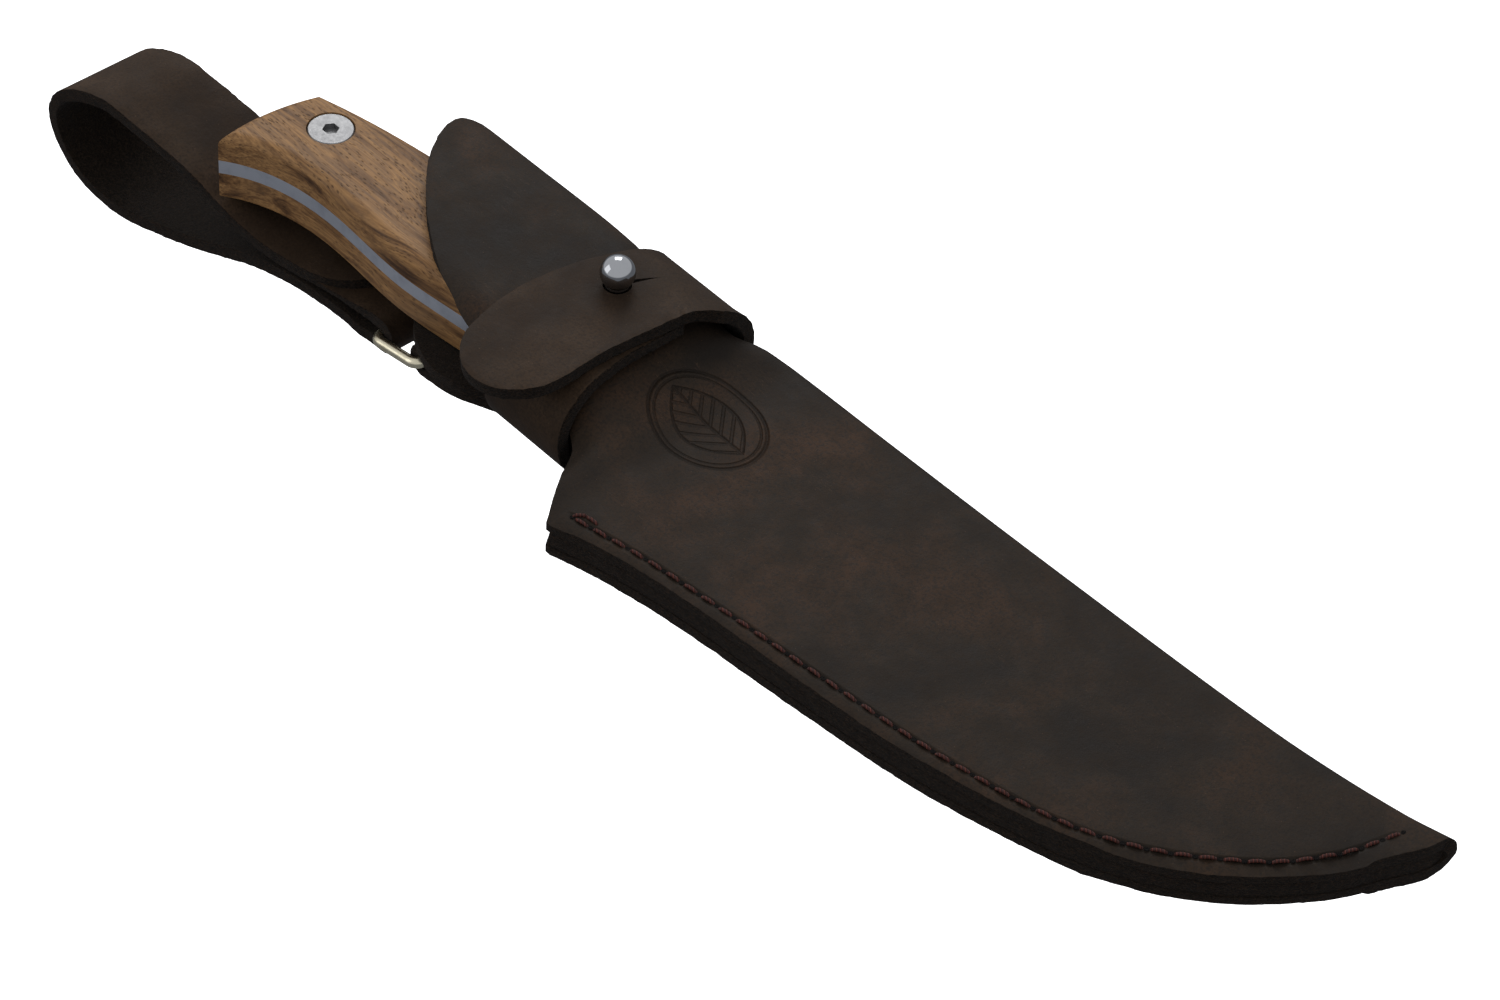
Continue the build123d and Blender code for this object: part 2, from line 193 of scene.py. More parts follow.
def steady(xs: Sequence[float], ys: Sequence[float]) -> Callable[[float], float]:
    """Smooth function through a table, with no overshoot between its rows.

    Args:
        xs: rising positions.
        ys: the values there.

    Returns:
        A function that is flat beyond both ends of the table.
    """
    x, y = np.array(xs, float), np.array(ys, float)
    gap, slope = np.diff(x), np.diff(y) / np.diff(x)
    tangent = np.zeros_like(y)
    for k in range(1, len(x) - 1):
        if slope[k - 1] * slope[k] > 0:
            tangent[k] = 2 * slope[k - 1] * slope[k] / (slope[k - 1] + slope[k])

    def value(at: float) -> float:
        """The table's value at one position."""
        at = min(max(at, x[0]), x[-1])
        k = min(int(np.searchsorted(x, at, side="right")) - 1, len(x) - 2)
        t = (at - x[k]) / gap[k]
        return float(
            y[k] * (1 + 2 * t) * (1 - t) ** 2
            + tangent[k] * gap[k] * t * (1 - t) ** 2
            + y[k + 1] * t * t * (3 - 2 * t)
            - tangent[k + 1] * gap[k] * t * t * (1 - t)
        )

    return value


def ease(at: float, low: float, high: float) -> float:
    """Smooth step from 0 at low to 1 at high."""
    t = min(max((at - low) / (high - low), 0.0), 1.0)
    return t * t * (3 - 2 * t)


class Path:
    """A smooth path in a plane, measured by its length, with a normal at each place.

    Args:
        points: samples along the path, in millimetres.
    """

    def __init__(self, points: Sequence[Point]) -> None:
        self.points = np.array(points, float)
        runs = np.linalg.norm(np.diff(self.points, axis=0), axis=1)
        self.marks = np.concatenate([[0.0], np.cumsum(runs)])
        self.length = float(self.marks[-1])
        ahead = np.gradient(self.points, self.marks, axis=0)
        ahead /= np.linalg.norm(ahead, axis=1, keepdims=True)
        self.normals = np.stack([-ahead[:, 1], ahead[:, 0]], axis=1)

    def turn_over(self) -> None:
        """Points the normals to the path's other side."""
        self.normals = -self.normals

    def at(self, s: float) -> tuple[np.ndarray, np.ndarray]:
        """Point and left-hand normal at length s, clamped to the path.

        Args:
            s: length along the path.

        Returns:
            The point and the normal there.
        """
        s = min(max(s, 0.0), self.length)
        point = np.array([np.interp(s, self.marks, self.points[:, k]) for k in (0, 1)])
        normal = np.array([np.interp(s, self.marks, self.normals[:, k]) for k in (0, 1)])
        return point, normal / max(float(np.linalg.norm(normal)), 1e-9)


def arc_points(centre: Point, radius: float, start: float, end: float, count: int = 14) -> list[Point]:
    """Points on an arc between two angles, in degrees."""
    turns = [math.radians(start + (end - start) * k / count) for k in range(count + 1)]
    return [(centre[0] + radius * math.cos(t), centre[1] + radius * math.sin(t)) for t in turns]


def new_object(name: str, mesh: bpy.types.Mesh) -> bpy.types.Object:
    """Links a mesh into the scene as a named object.

    Args:
        name: the object's name.
        mesh: its mesh.

    Returns:
        The new object.
    """
    made = bpy.data.objects.new(name, mesh)
    bpy.context.scene.collection.objects.link(made)
    return made


def apply_modifiers(piece: bpy.types.Object) -> None:
    """Turns a piece's modifiers into its mesh.

    Args:
        piece: the piece to change.
    """
    graph = bpy.context.evaluated_depsgraph_get()
    mesh = bpy.data.meshes.new_from_object(piece.evaluated_get(graph))
    old = piece.data
    piece.modifiers.clear()
    piece.data = mesh
    bpy.data.meshes.remove(old)


def note_rest(piece: bpy.types.Object) -> None:
    """Stores each point's u, v and w, in millimetres, for the finishes to read.

    Args:
        piece: the piece to write the attribute on.
    """
    mesh = piece.data
    places = [PLANE.local(vertex.co) for vertex in mesh.vertices]
    layer = mesh.attributes.get("rest_mm") or mesh.attributes.new("rest_mm", "FLOAT_VECTOR", "POINT")
    layer.data.foreach_set("vector", np.array(places, np.float32).ravel())


def smooth_shading(piece: bpy.types.Object, angle: float = 40.0) -> None:
    """Shades a piece smooth, with creases where faces meet at more than angle degrees.

    Args:
        piece: the piece to shade.
        angle: crease angle in degrees.
    """
    mesh = piece.data
    mesh.polygons.foreach_set("use_smooth", [True] * len(mesh.polygons))
    work = bmesh.new()
    work.from_mesh(mesh)
    for edge in work.edges:
        if len(edge.link_faces) == 2:
            edge.smooth = edge.calc_face_angle(0.0) < math.radians(angle)
    work.to_mesh(mesh)
    work.free()


# ------------------------------------------------------------------------------ node helpers
class Wiring:
    """Builds one material's nodes with short calls.

    Args:
        name: the material's name.
    """

    def __init__(self, name: str) -> None:
        self.material = bpy.data.materials.new(name)
        self.material.use_nodes = True
        self.tree = self.material.node_tree
        self.tree.nodes.clear()
        self.output = self.tree.nodes.new("ShaderNodeOutputMaterial")
        self.shader = self.tree.nodes.new("ShaderNodeBsdfPrincipled")
        self.join(self.shader.outputs["BSDF"], self.output.inputs["Surface"])

    def join(self, source: bpy.types.NodeSocket, target: bpy.types.NodeSocket) -> None:
        """Links two sockets."""
        self.tree.links.new(source, target)

    def feed(self, socket: bpy.types.NodeSocket, value: object) -> None:
        """Sets a socket from a number, a tuple or another socket.

        Args:
            socket: the input socket.
            value: a number, a tuple or an output socket.
        """
        if isinstance(value, bpy.types.NodeSocket):
            self.join(value, socket)
        else:
            socket.default_value = value

    def rest(self) -> bpy.types.NodeSocket:
        """Each point's stored u, v, w in millimetres.

        Returns:
            The vector socket.
        """
        node = self.tree.nodes.new("ShaderNodeAttribute")
        node.attribute_name = "rest_mm"
        return node.outputs["Vector"]

    def object_mm(self) -> bpy.types.NodeSocket:
        """Object coordinates in millimetres, turned onto the knife's plane.

        Returns:
            The vector socket.
        """
        node = self.tree.nodes.new("ShaderNodeTexCoord")
        turn = self.tree.nodes.new("ShaderNodeMapping")
        turn.vector_type = "TEXTURE"
        turn.inputs["Location"].default_value = PLANE.origin
        turn.inputs["Rotation"].default_value = (0, math.asin(-PLANE.along.z), 0)
        turn.inputs["Scale"].default_value = (MM, MM, MM)
        self.join(node.outputs["Object"], turn.inputs["Vector"])
        return turn.outputs["Vector"]

    def scaled(self, vector: bpy.types.NodeSocket, scale: Colour) -> bpy.types.NodeSocket:
        """A vector stretched along its three axes.

        Args:
            vector: the vector to read.
            scale: factor for each axis.

        Returns:
            The stretched vector's socket.
        """
        node = self.tree.nodes.new("ShaderNodeVectorMath")
        node.operation = "MULTIPLY"
        self.join(vector, node.inputs[0])
        node.inputs[1].default_value = scale
        return node.outputs["Vector"]

    def parts(self, vector: bpy.types.NodeSocket) -> bpy.types.NodeOutputs:
        """The X, Y and Z of a vector.

        Args:
            vector: the vector to read.

        Returns:
            The three outputs.
        """
        node = self.tree.nodes.new("ShaderNodeSeparateXYZ")
        self.join(vector, node.inputs[0])
        return node.outputs

    def noise(
        self, vector: bpy.types.NodeSocket, scale: float, detail: float = 4.0, rough: float = 0.55,
        distortion: float = 0.0,
    ) -> bpy.types.NodeSocket:
        """Noise value at a scale in waves per millimetre.

        Args:
            vector: the vector to read.
            scale: noise scale.
            detail: noise detail.
            rough: noise roughness.
            distortion: noise distortion.

        Returns:
            The noise value's socket.
        """
        node = self.tree.nodes.new("ShaderNodeTexNoise")
        self.join(vector, node.inputs["Vector"])
        for key, value in (("Scale", scale), ("Detail", detail), ("Roughness", rough),
                           ("Distortion", distortion)):
            node.inputs[key].default_value = value
        return node.outputs["Fac"]

    def cells(self, vector: bpy.types.NodeSocket, scale: float, feature: str = "F1") -> bpy.types.NodeSocket:
        """Distance to the nearest cell point, or to the cell edge.

        Args:
            vector: the vector to read.
            scale: cell scale.
            feature: the node's feature.

        Returns:
            The distance's socket.
        """
        node = self.tree.nodes.new("ShaderNodeTexVoronoi")
        node.feature = feature
        self.join(vector, node.inputs["Vector"])
        node.inputs["Scale"].default_value = scale
        return node.outputs["Distance"]

    def ramp(self, value: object, stops: Sequence[tuple[float, object]]) -> bpy.types.NodeSocket:
        """Colour or grey ramp; each stop is a place and a grey or a colour.

        Args:
            value: a number or a socket.
            stops: places and their greys or colours.

        Returns:
            The colour's socket.
        """
        node = self.tree.nodes.new("ShaderNodeValToRGB")
        self.feed(node.inputs["Fac"], value)
        row = node.color_ramp.elements
        while len(row) < len(stops):
            row.new(0.5)
        for element, (place, colour) in zip(row, stops):
            element.position = place
            shade = (colour,) * 3 if isinstance(colour, (int, float)) else colour
            element.color = (*shade, 1.0)
        return node.outputs["Color"]

    def sum(self, operation: str, *values: object) -> bpy.types.NodeSocket:
        """One math node.

        Args:
            operation: the math node's operation.
            *values: numbers or sockets.

        Returns:
            The result's socket.
        """
        node = self.tree.nodes.new("ShaderNodeMath")
        node.operation = operation
        for socket, value in zip(node.inputs, values):
            self.feed(socket, value)
        return node.outputs[0]

    def mix(self, share: object, first: object, second: object, way: str = "MIX") -> bpy.types.NodeSocket:
        """Mixes two colours.

        Args:
            share: share of the second colour.
            first: first colour.
            second: second colour.
            way: the node's blend type.

        Returns:
            The mixed colour's socket.
        """
        node = self.tree.nodes.new("ShaderNodeMix")
        node.data_type = "RGBA"
        node.blend_type = way
        self.feed(node.inputs["Factor"], share)
        for key, value in ((6, first), (7, second)):
            if isinstance(value, tuple):
                value = (*value, 1.0)
            self.feed(node.inputs[key], value)
        return node.outputs[2]

    def bump(
        self, height: bpy.types.NodeSocket, depth_mm: float, strength: float = 1.0,
        after: Optional[bpy.types.NodeSocket] = None,
    ) -> bpy.types.NodeSocket:
        """Bump of a height between 0 and 1 that is depth_mm deep.

        Args:
            height: the height's socket.
            depth_mm: depth in millimetres.
            strength: the node's strength.
            after: a normal that this one builds on, or None.

        Returns:
            The normal's socket.
        """
        node = self.tree.nodes.new("ShaderNodeBump")
        node.inputs["Strength"].default_value = strength
        node.inputs["Distance"].default_value = depth_mm * MM
        self.join(height, node.inputs["Height"])
        if after is not None:
            self.join(after, node.inputs["Normal"])
        return node.outputs["Normal"]

    def line(self, value: bpy.types.NodeSocket, at: float, half: float) -> bpy.types.NodeSocket:
        """1 where a value is within half of at, falling smoothly to 0.

        Args:
            value: the value's socket.
            at: middle of the line.
            half: half its width.

        Returns:
            The socket of the line's value.
        """
        away = self.sum("ABSOLUTE", self.sum("SUBTRACT", value, at))
        node = self.tree.nodes.new("ShaderNodeMapRange")
        node.interpolation_type = "SMOOTHSTEP"
        self.join(away, node.inputs["Value"])
        for key, number in (("From Min", half), ("From Max", 0.0), ("To Min", 0.0), ("To Max", 1.0)):
            node.inputs[key].default_value = number
        return node.outputs["Result"]

    def finish(self, colour: object, roughness: object, normal: Optional[bpy.types.NodeSocket],
               **fixed: float) -> bpy.types.Material:
        """Feeds the shader and returns the material.

        Args:
            colour: base colour, fixed or a socket.
            roughness: roughness, fixed or a socket.
            normal: a bump's normal, or None.
            **fixed: other shader sockets by name, with spaces as underscores.

        Returns:
            The finished material.
        """
        if isinstance(colour, tuple):
            colour = (*colour, 1.0)
        self.feed(self.shader.inputs["Base Color"], colour)
        self.feed(self.shader.inputs["Roughness"], roughness)
        if normal is not None:
            self.join(normal, self.shader.inputs["Normal"])
        for key, value in fixed.items():
            self.shader.inputs[key.replace("_", " ")].default_value = value
        return self.material


def linear(red: int, green: int, blue: int) -> Colour:
    """Linear colour of an 8-bit screen colour.

    Args:
        red: red, 0 to 255.
        green: green, 0 to 255.
        blue: blue, 0 to 255.

    Returns:
        The colour in linear light.
    """
    return tuple(
        c / 12.92 if c <= 0.04045 else ((c + 0.055) / 1.055) ** 2.4
        for c in (red / 255, green / 255, blue / 255)
    )


# ------------------------------------------------------------------------------ finishes
class Tooling(Enum):
    """What is pressed into a leather face."""

    PLAIN = "plain"
    FRONT_PANEL = "front panel"


@dataclass(frozen=True)
class OiledGrain:
    """Grain side of waxy pull-up leather.

    Args:
        name: the material's name.
        dark, middle, light: colours from the deep oiled areas to the rubbed ones.
        tooling: what is pressed into the face.
    """

    name: str
    dark: Colour
    middle: Colour
    light: Colour
    tooling: Tooling = Tooling.PLAIN

    def ornament(self, wires: Wiring) -> bpy.types.NodeSocket:
        """Depth of the pressed leaf medallion.

        Args:
            wires: the material's nodes.

        Returns:
            1 where the tool has pressed deepest.
        """
        place = wires.parts(wires.rest())
        x = wires.sum("DIVIDE", wires.sum("SUBTRACT", place["X"], 28.8), 13.2)
        y = wires.sum("DIVIDE", wires.sum("ADD", place["Y"], 13.0), 10.6)
        span = wires.sum("SQRT", wires.sum("ADD", wires.sum("MULTIPLY", x, x), wires.sum("MULTIPLY", y, y)))
        side = wires.sum("ABSOLUTE", y)
        leaf_half = wires.sum("MULTIPLY", wires.sum("SUBTRACT", 0.62, wires.sum("MULTIPLY", x, x)), 0.95)
        rim = wires.line(wires.sum("SUBTRACT", side, leaf_half), 0.0, 0.05)
        slant = wires.sum("ADD", x, wires.sum("MULTIPLY", side, 0.75))
        wave = wires.sum("SINE", wires.sum("MULTIPLY", slant, 27.0))
        veins = wires.line(wave, 1.0, 0.75)
        inside = wires.sum("LESS_THAN", side, leaf_half)
        midrib = wires.line(side, 0.0, 0.055)
        leaf = wires.sum("MULTIPLY", wires.sum("MAXIMUM", wires.sum("MULTIPLY", veins, 0.7), midrib), inside)
        leaf = wires.sum("MAXIMUM", leaf, wires.sum("MULTIPLY", rim, wires.sum("LESS_THAN", span, 0.86)))
        rings = wires.sum("MAXIMUM", wires.line(span, 1.0, 0.05),
                          wires.sum("MULTIPLY", wires.line(span, 0.9, 0.035), 0.7))
        front = wires.sum("GREATER_THAN", place["Z"], 0.0)
        return wires.sum("MULTIPLY", wires.sum("MAXIMUM", leaf, rings), front)

    def seam_crease(self, wires: Wiring) -> bpy.types.NodeSocket:
        """1 in the crease that the stitches pull into the face.

        Args:
            wires: the material's wiring.

        Returns:
            The crease value's socket.
        """
        node = wires.tree.nodes.new("ShaderNodeAttribute")
        node.attribute_name = "seam_mm"
        across, along = wires.parts(node.outputs["Vector"])[:2]
        return wires.sum("MULTIPLY", wires.line(across, 0.0, 1.15), along)

    def make(self) -> bpy.types.Material:
        """Builds the material.

        Returns:
            The finished material.
        """
        wires = Wiring(self.name)
        rest = wires.rest()
        broad = wires.noise(rest, 0.035, 5.0, 0.6, 0.4)
        mottle = wires.noise(rest, 0.16, 6.0, 0.62)
        fine = wires.noise(rest, 1.6, 3.0, 0.6)
        colour = wires.ramp(broad, [(0.38, self.dark), (0.50, self.middle), (0.66, self.light)])
        patches = wires.ramp(mottle, [(0.42, 0.0), (0.58, 1.0)])
        colour = wires.mix(wires.sum("MULTIPLY", patches, 0.45), colour, self.middle)
        colour = wires.mix(wires.ramp(fine, [(0.34, 0.75), (0.56, 0.0)]), colour, self.dark)
        scratch_field = wires.noise(wires.scaled(rest, (0.05, 0.9, 0.5)), 1.0, 2.0, 0.5, 1.3)
        scratch = wires.line(scratch_field, 0.5, 0.006)
        sparse = wires.ramp(wires.noise(rest, 0.06, 2.0), [(0.55, 0.0), (0.70, 1.0)])
        scratch = wires.sum("MULTIPLY", scratch, sparse)
        specks = wires.ramp(wires.cells(rest, 0.6), [(0.0, 1.0), (0.075, 0.0)])
        rub = wires.sum("MAXIMUM", wires.sum("MULTIPLY", scratch, 0.30), wires.sum("MULTIPLY", specks, 0.5))
        pale = tuple(min(1.0, c * 3.2 + 0.01) for c in self.light)
        colour = wires.mix(rub, colour, pale)
        pores = wires.cells(rest, 2.4)
        wrinkle = wires.noise(rest, 0.75, 4.0, 0.65)
        grain = wires.sum("ADD", wires.sum("MULTIPLY", pores, 0.6), wires.sum("MULTIPLY", fine, 0.5))
        normal = wires.bump(grain, 0.10, 0.35)
        normal = wires.bump(wrinkle, 0.35, 0.30, normal)
        if self.tooling is Tooling.FRONT_PANEL:
            pressed = self.ornament(wires)
            crease = self.seam_crease(wires)
            # Painted shade: the medallion's pressed lines are darkened, on top of their bump.
            pressed_lines_shade = tuple(c * 0.45 for c in self.dark)
            colour = wires.mix(wires.sum("MULTIPLY", pressed, 0.55), colour, pressed_lines_shade)
            # Painted shade: the colour is darkened in the seam's crease, on top of the crease's bump.
            colour = wires.mix(wires.sum("MULTIPLY", crease, 0.6), colour, tuple(c * 0.5 for c in self.dark))
            normal = wires.bump(wires.sum("SUBTRACT", 1.0, pressed), 0.50, 0.9, normal)
            normal = wires.bump(wires.sum("SUBTRACT", 1.0, crease), 0.45, 0.9, normal)
        rough = wires.ramp(wires.sum("ADD", wires.sum("MULTIPLY", mottle, 0.6),
                                     wires.sum("MULTIPLY", fine, 0.4)),
                           [(0.3, 0.52), (0.7, 0.70)])
        return wires.finish(colour, rough, normal, Specular_IOR_Level=0.12)


@dataclass(frozen=True)
class FuzzyFlesh:
    """Flesh side and cut edges: short dark fibres.

    Args:
        name: the material's name.
        deep, fibre: colours of the ground and of the loose fibres.
        layers: whether the fibres run in flat layers, as on a cut edge.
    """

    name: str
    deep: Colour
    fibre: Colour
    layers: bool = False

    def make(self) -> bpy.types.Material:
        """Builds the material.

        Returns:
            The finished material.
        """
        wires = Wiring(self.name)
        rest = wires.rest()
        stretch = (0.7, 0.7, 2.2) if self.layers else (1.0, 1.0, 1.0)
        fibres = wires.noise(wires.scaled(rest, stretch), 2.2, 6.0, 0.72, 0.8)
        clumps = wires.noise(rest, 0.45, 4.0, 0.6)
        colour = wires.ramp(clumps, [(0.3, tuple(c * 0.6 for c in self.deep)), (0.7, self.deep)])
        colour = wires.mix(wires.ramp(fibres, [(0.47, 0.0), (0.64, 0.85)]), colour, self.fibre)
        height = wires.sum("ADD", fibres, wires.sum("MULTIPLY", clumps, 0.8))
        normal = wires.bump(height, 0.45, 0.85)
        return wires.finish(colour, 0.92, normal, Specular_IOR_Level=0.08, Sheen_Weight=0.05,
                            Sheen_Roughness=0.5)


@dataclass(frozen=True)
class OiledWalnut:
    """Oiled walnut with dark streaks and open pores that run along the handle."""

    name: str = "oiled_walnut"
    honey: Colour = linear(172, 130, 84)
    brown: Colour = linear(134, 98, 62)
    streak: Colour = linear(66, 44, 28)
    grey: Colour = linear(96, 76, 58)

    def make(self) -> bpy.types.Material:
        """Builds the material.

        Returns:
            The finished material.
        """
        wires = Wiring(self.name)
        place = wires.object_mm()
        bend = wires.noise(wires.scaled(place, (0.018, 0.05, 0.05)), 1.0, 2.0, 0.5)
        across = wires.tree.nodes.new("ShaderNodeVectorMath")
        across.operation = "MULTIPLY_ADD"
        wires.join(wires.scaled(bend, (0.0, 16.0, 16.0)), across.inputs[2])
        wires.join(place, across.inputs[0])
        across.inputs[1].default_value = (1, 1, 1)
        grain_place = across.outputs["Vector"]
        rings = wires.noise(wires.scaled(grain_place, (0.022, 0.34, 0.34)), 1.0, 5.0, 0.62, 0.5)
        fine = wires.noise(wires.scaled(grain_place, (0.10, 2.4, 2.4)), 1.0, 4.0, 0.6)
        colour = wires.ramp(rings, [(0.30, self.streak), (0.42, self.brown), (0.54, self.honey),
                                    (0.64, self.brown), (0.76, self.grey)])
        colour = wires.mix(wires.ramp(fine, [(0.40, 0.42), (0.60, 0.0)]), colour, self.streak)
        smoke = wires.noise(wires.scaled(place, (0.03, 0.12, 0.1)), 1.0, 3.0, 0.5)
        colour = wires.mix(wires.ramp(smoke, [(0.52, 0.0), (0.72, 0.45)]), colour, self.grey)
        pore_cells = wires.cells(wires.scaled(grain_place, (0.5, 2.2, 2.2)), 1.0)
        pore_zone = wires.ramp(wires.noise(wires.scaled(place, (0.05, 0.16, 0.16)), 1.0, 2.0),
                               [(0.35, 0.25), (0.62, 1.0)])
        pores = wires.sum("MULTIPLY", wires.ramp(pore_cells, [(0.14, 1.0), (0.34, 0.0)]), pore_zone)
        colour = wires.mix(wires.sum("MULTIPLY", pores, 0.75), colour, tuple(c * 0.55 for c in self.streak))
        height = wires.sum("SUBTRACT", wires.sum("MULTIPLY", fine, 0.35), pores)
        normal = wires.bump(height, 0.10, 0.6)
        rough = wires.ramp(fine, [(0.3, 0.42), (0.7, 0.56)])
        return wires.finish(colour, rough, normal, Specular_IOR_Level=0.22)


@dataclass(frozen=True)
class BrushedMetal:
    """Satin or polished metal with fine marks along one direction.

    Args:
        name: the material's name.
        colour: colour of the clean metal.
        dull: colour of its stains.
        smooth, coarse: lowest and highest roughness.
        stretch: how the marks are drawn out along u, v and w.
        depth: depth of the marks in millimetres.
    """

    name: str
    colour: Colour
    dull: Colour
    smooth: float
    coarse: float
    stretch: Colour = (0.12, 4.0, 4.0)
    depth: float = 0.02

    def make(self) -> bpy.types.Material:
        """Builds the material.

        Returns:
            The finished material.
        """
        wires = Wiring(self.name)
        place = wires.object_mm()
        marks = wires.noise(wires.scaled(place, self.stretch), 1.0, 4.0, 0.7)
        stains = wires.noise(place, 0.22, 4.0, 0.6)
        colour = wires.mix(wires.ramp(stains, [(0.48, 0.0), (0.72, 0.6)]), self.colour, self.dull)
        rough = wires.ramp(marks, [(0.3, self.smooth), (0.7, self.coarse)])
        normal = wires.bump(marks, self.depth, 0.5)
        return wires.finish(colour, rough, normal, Metallic=1.0)


@dataclass(frozen=True)
class WaxedThread:
    """Red-brown waxed thread, two plies twisted together, with the plies' shade and highlight painted into
    the colour.
    """

    name: str = "waxed_thread"
    ply_crest_highlight: Colour = linear(98, 48, 38)
    deep: Colour = linear(58, 26, 21)

    def make(self) -> bpy.types.Material:
        """Builds the material.

        Returns:
            The finished material.
        """
        wires = Wiring(self.name)
        rest = wires.rest()
        place = wires.parts(rest)
        slant = wires.sum("ADD", wires.sum("MULTIPLY", place["X"], 5.2),
                          wires.sum("MULTIPLY", place["Y"], 7.0))
        twist = wires.sum("SINE", slant)
        wear = wires.noise(rest, 0.8, 3.0)
        # Painted shade and highlight: dark in the grooves between the plies and bright on their crests, on
        # top of the twist's bump.
        colour = wires.mix(wires.ramp(twist, [(0.0, 0.0), (1.0, 1.0)]), self.deep, self.ply_crest_highlight)
        colour = wires.mix(wires.ramp(wear, [(0.45, 0.0), (0.7, 0.5)]), colour, self.deep)
        normal = wires.bump(twist, 0.12, 0.8)
        return wires.finish(colour, 0.62, normal, Specular_IOR_Level=0.35)


@dataclass
class Finishes:
    """All the finishes of the set, built once."""

    sheath_grain: bpy.types.Material = field(init=False)
    strap_grain: bpy.types.Material = field(init=False)
    flesh: bpy.types.Material = field(init=False)
    edge: bpy.types.Material = field(init=False)
    walnut: bpy.types.Material = field(init=False)
    tang_steel: bpy.types.Material = field(init=False)
    bolt_steel: bpy.types.Material = field(init=False)
    chrome: bpy.types.Material = field(init=False)
    pale_brass: bpy.types.Material = field(init=False)
    thread: bpy.types.Material = field(init=False)
    needle_hole_painted_shade: bpy.types.Material = field(init=False)

    def __post_init__(self) -> None:
        """Builds each material."""
        self.sheath_grain = OiledGrain("sheath_grain", linear(36, 31, 27), linear(49, 40, 32),
                                       linear(66, 48, 35), Tooling.FRONT_PANEL).make()
        self.strap_grain = OiledGrain("strap_grain", linear(42, 32, 24), linear(56, 43, 32),
                                      linear(70, 54, 40)).make()
        self.flesh = FuzzyFlesh("flesh_side", linear(26, 20, 15), linear(52, 41, 31)).make()
        self.edge = FuzzyFlesh("cut_edge", linear(21, 16, 12), linear(64, 48, 35), layers=True).make()
        self.walnut = OiledWalnut().make()
        self.tang_steel = BrushedMetal("tang_steel", linear(214, 218, 228), linear(180, 184, 196),
                                       0.36, 0.55).make()
        self.bolt_steel = BrushedMetal("bolt_steel", linear(150, 150, 151), linear(128, 128, 130), 0.42, 0.55,
                                       (1.5, 1.5, 1.5), 0.012).make()
        self.chrome = BrushedMetal("polished_chrome", linear(188, 190, 194),
                                   linear(168, 171, 176), 0.04, 0.08,
                                   (0.6, 0.6, 0.6), 0.004).make()
        self.pale_brass = BrushedMetal("pale_brass", linear(238, 230, 204), linear(206, 192, 150), 0.20, 0.34,
                                       (1.2, 1.2, 1.2), 0.01).make()
        self.thread = WaxedThread().make()
        # Painted shade: a very dark finish for the discs that stand in for the needle holes.
        self.needle_hole_painted_shade = FuzzyFlesh("needle_hole_painted_shade", linear(14, 10, 9), linear(22, 16, 13)).make()

    def leather(self, grain: bpy.types.Material) -> list[bpy.types.Material]:
        """The three faces of a leather piece: grain side, flesh side and cut edge."""
        return [grain, self.flesh, self.edge]


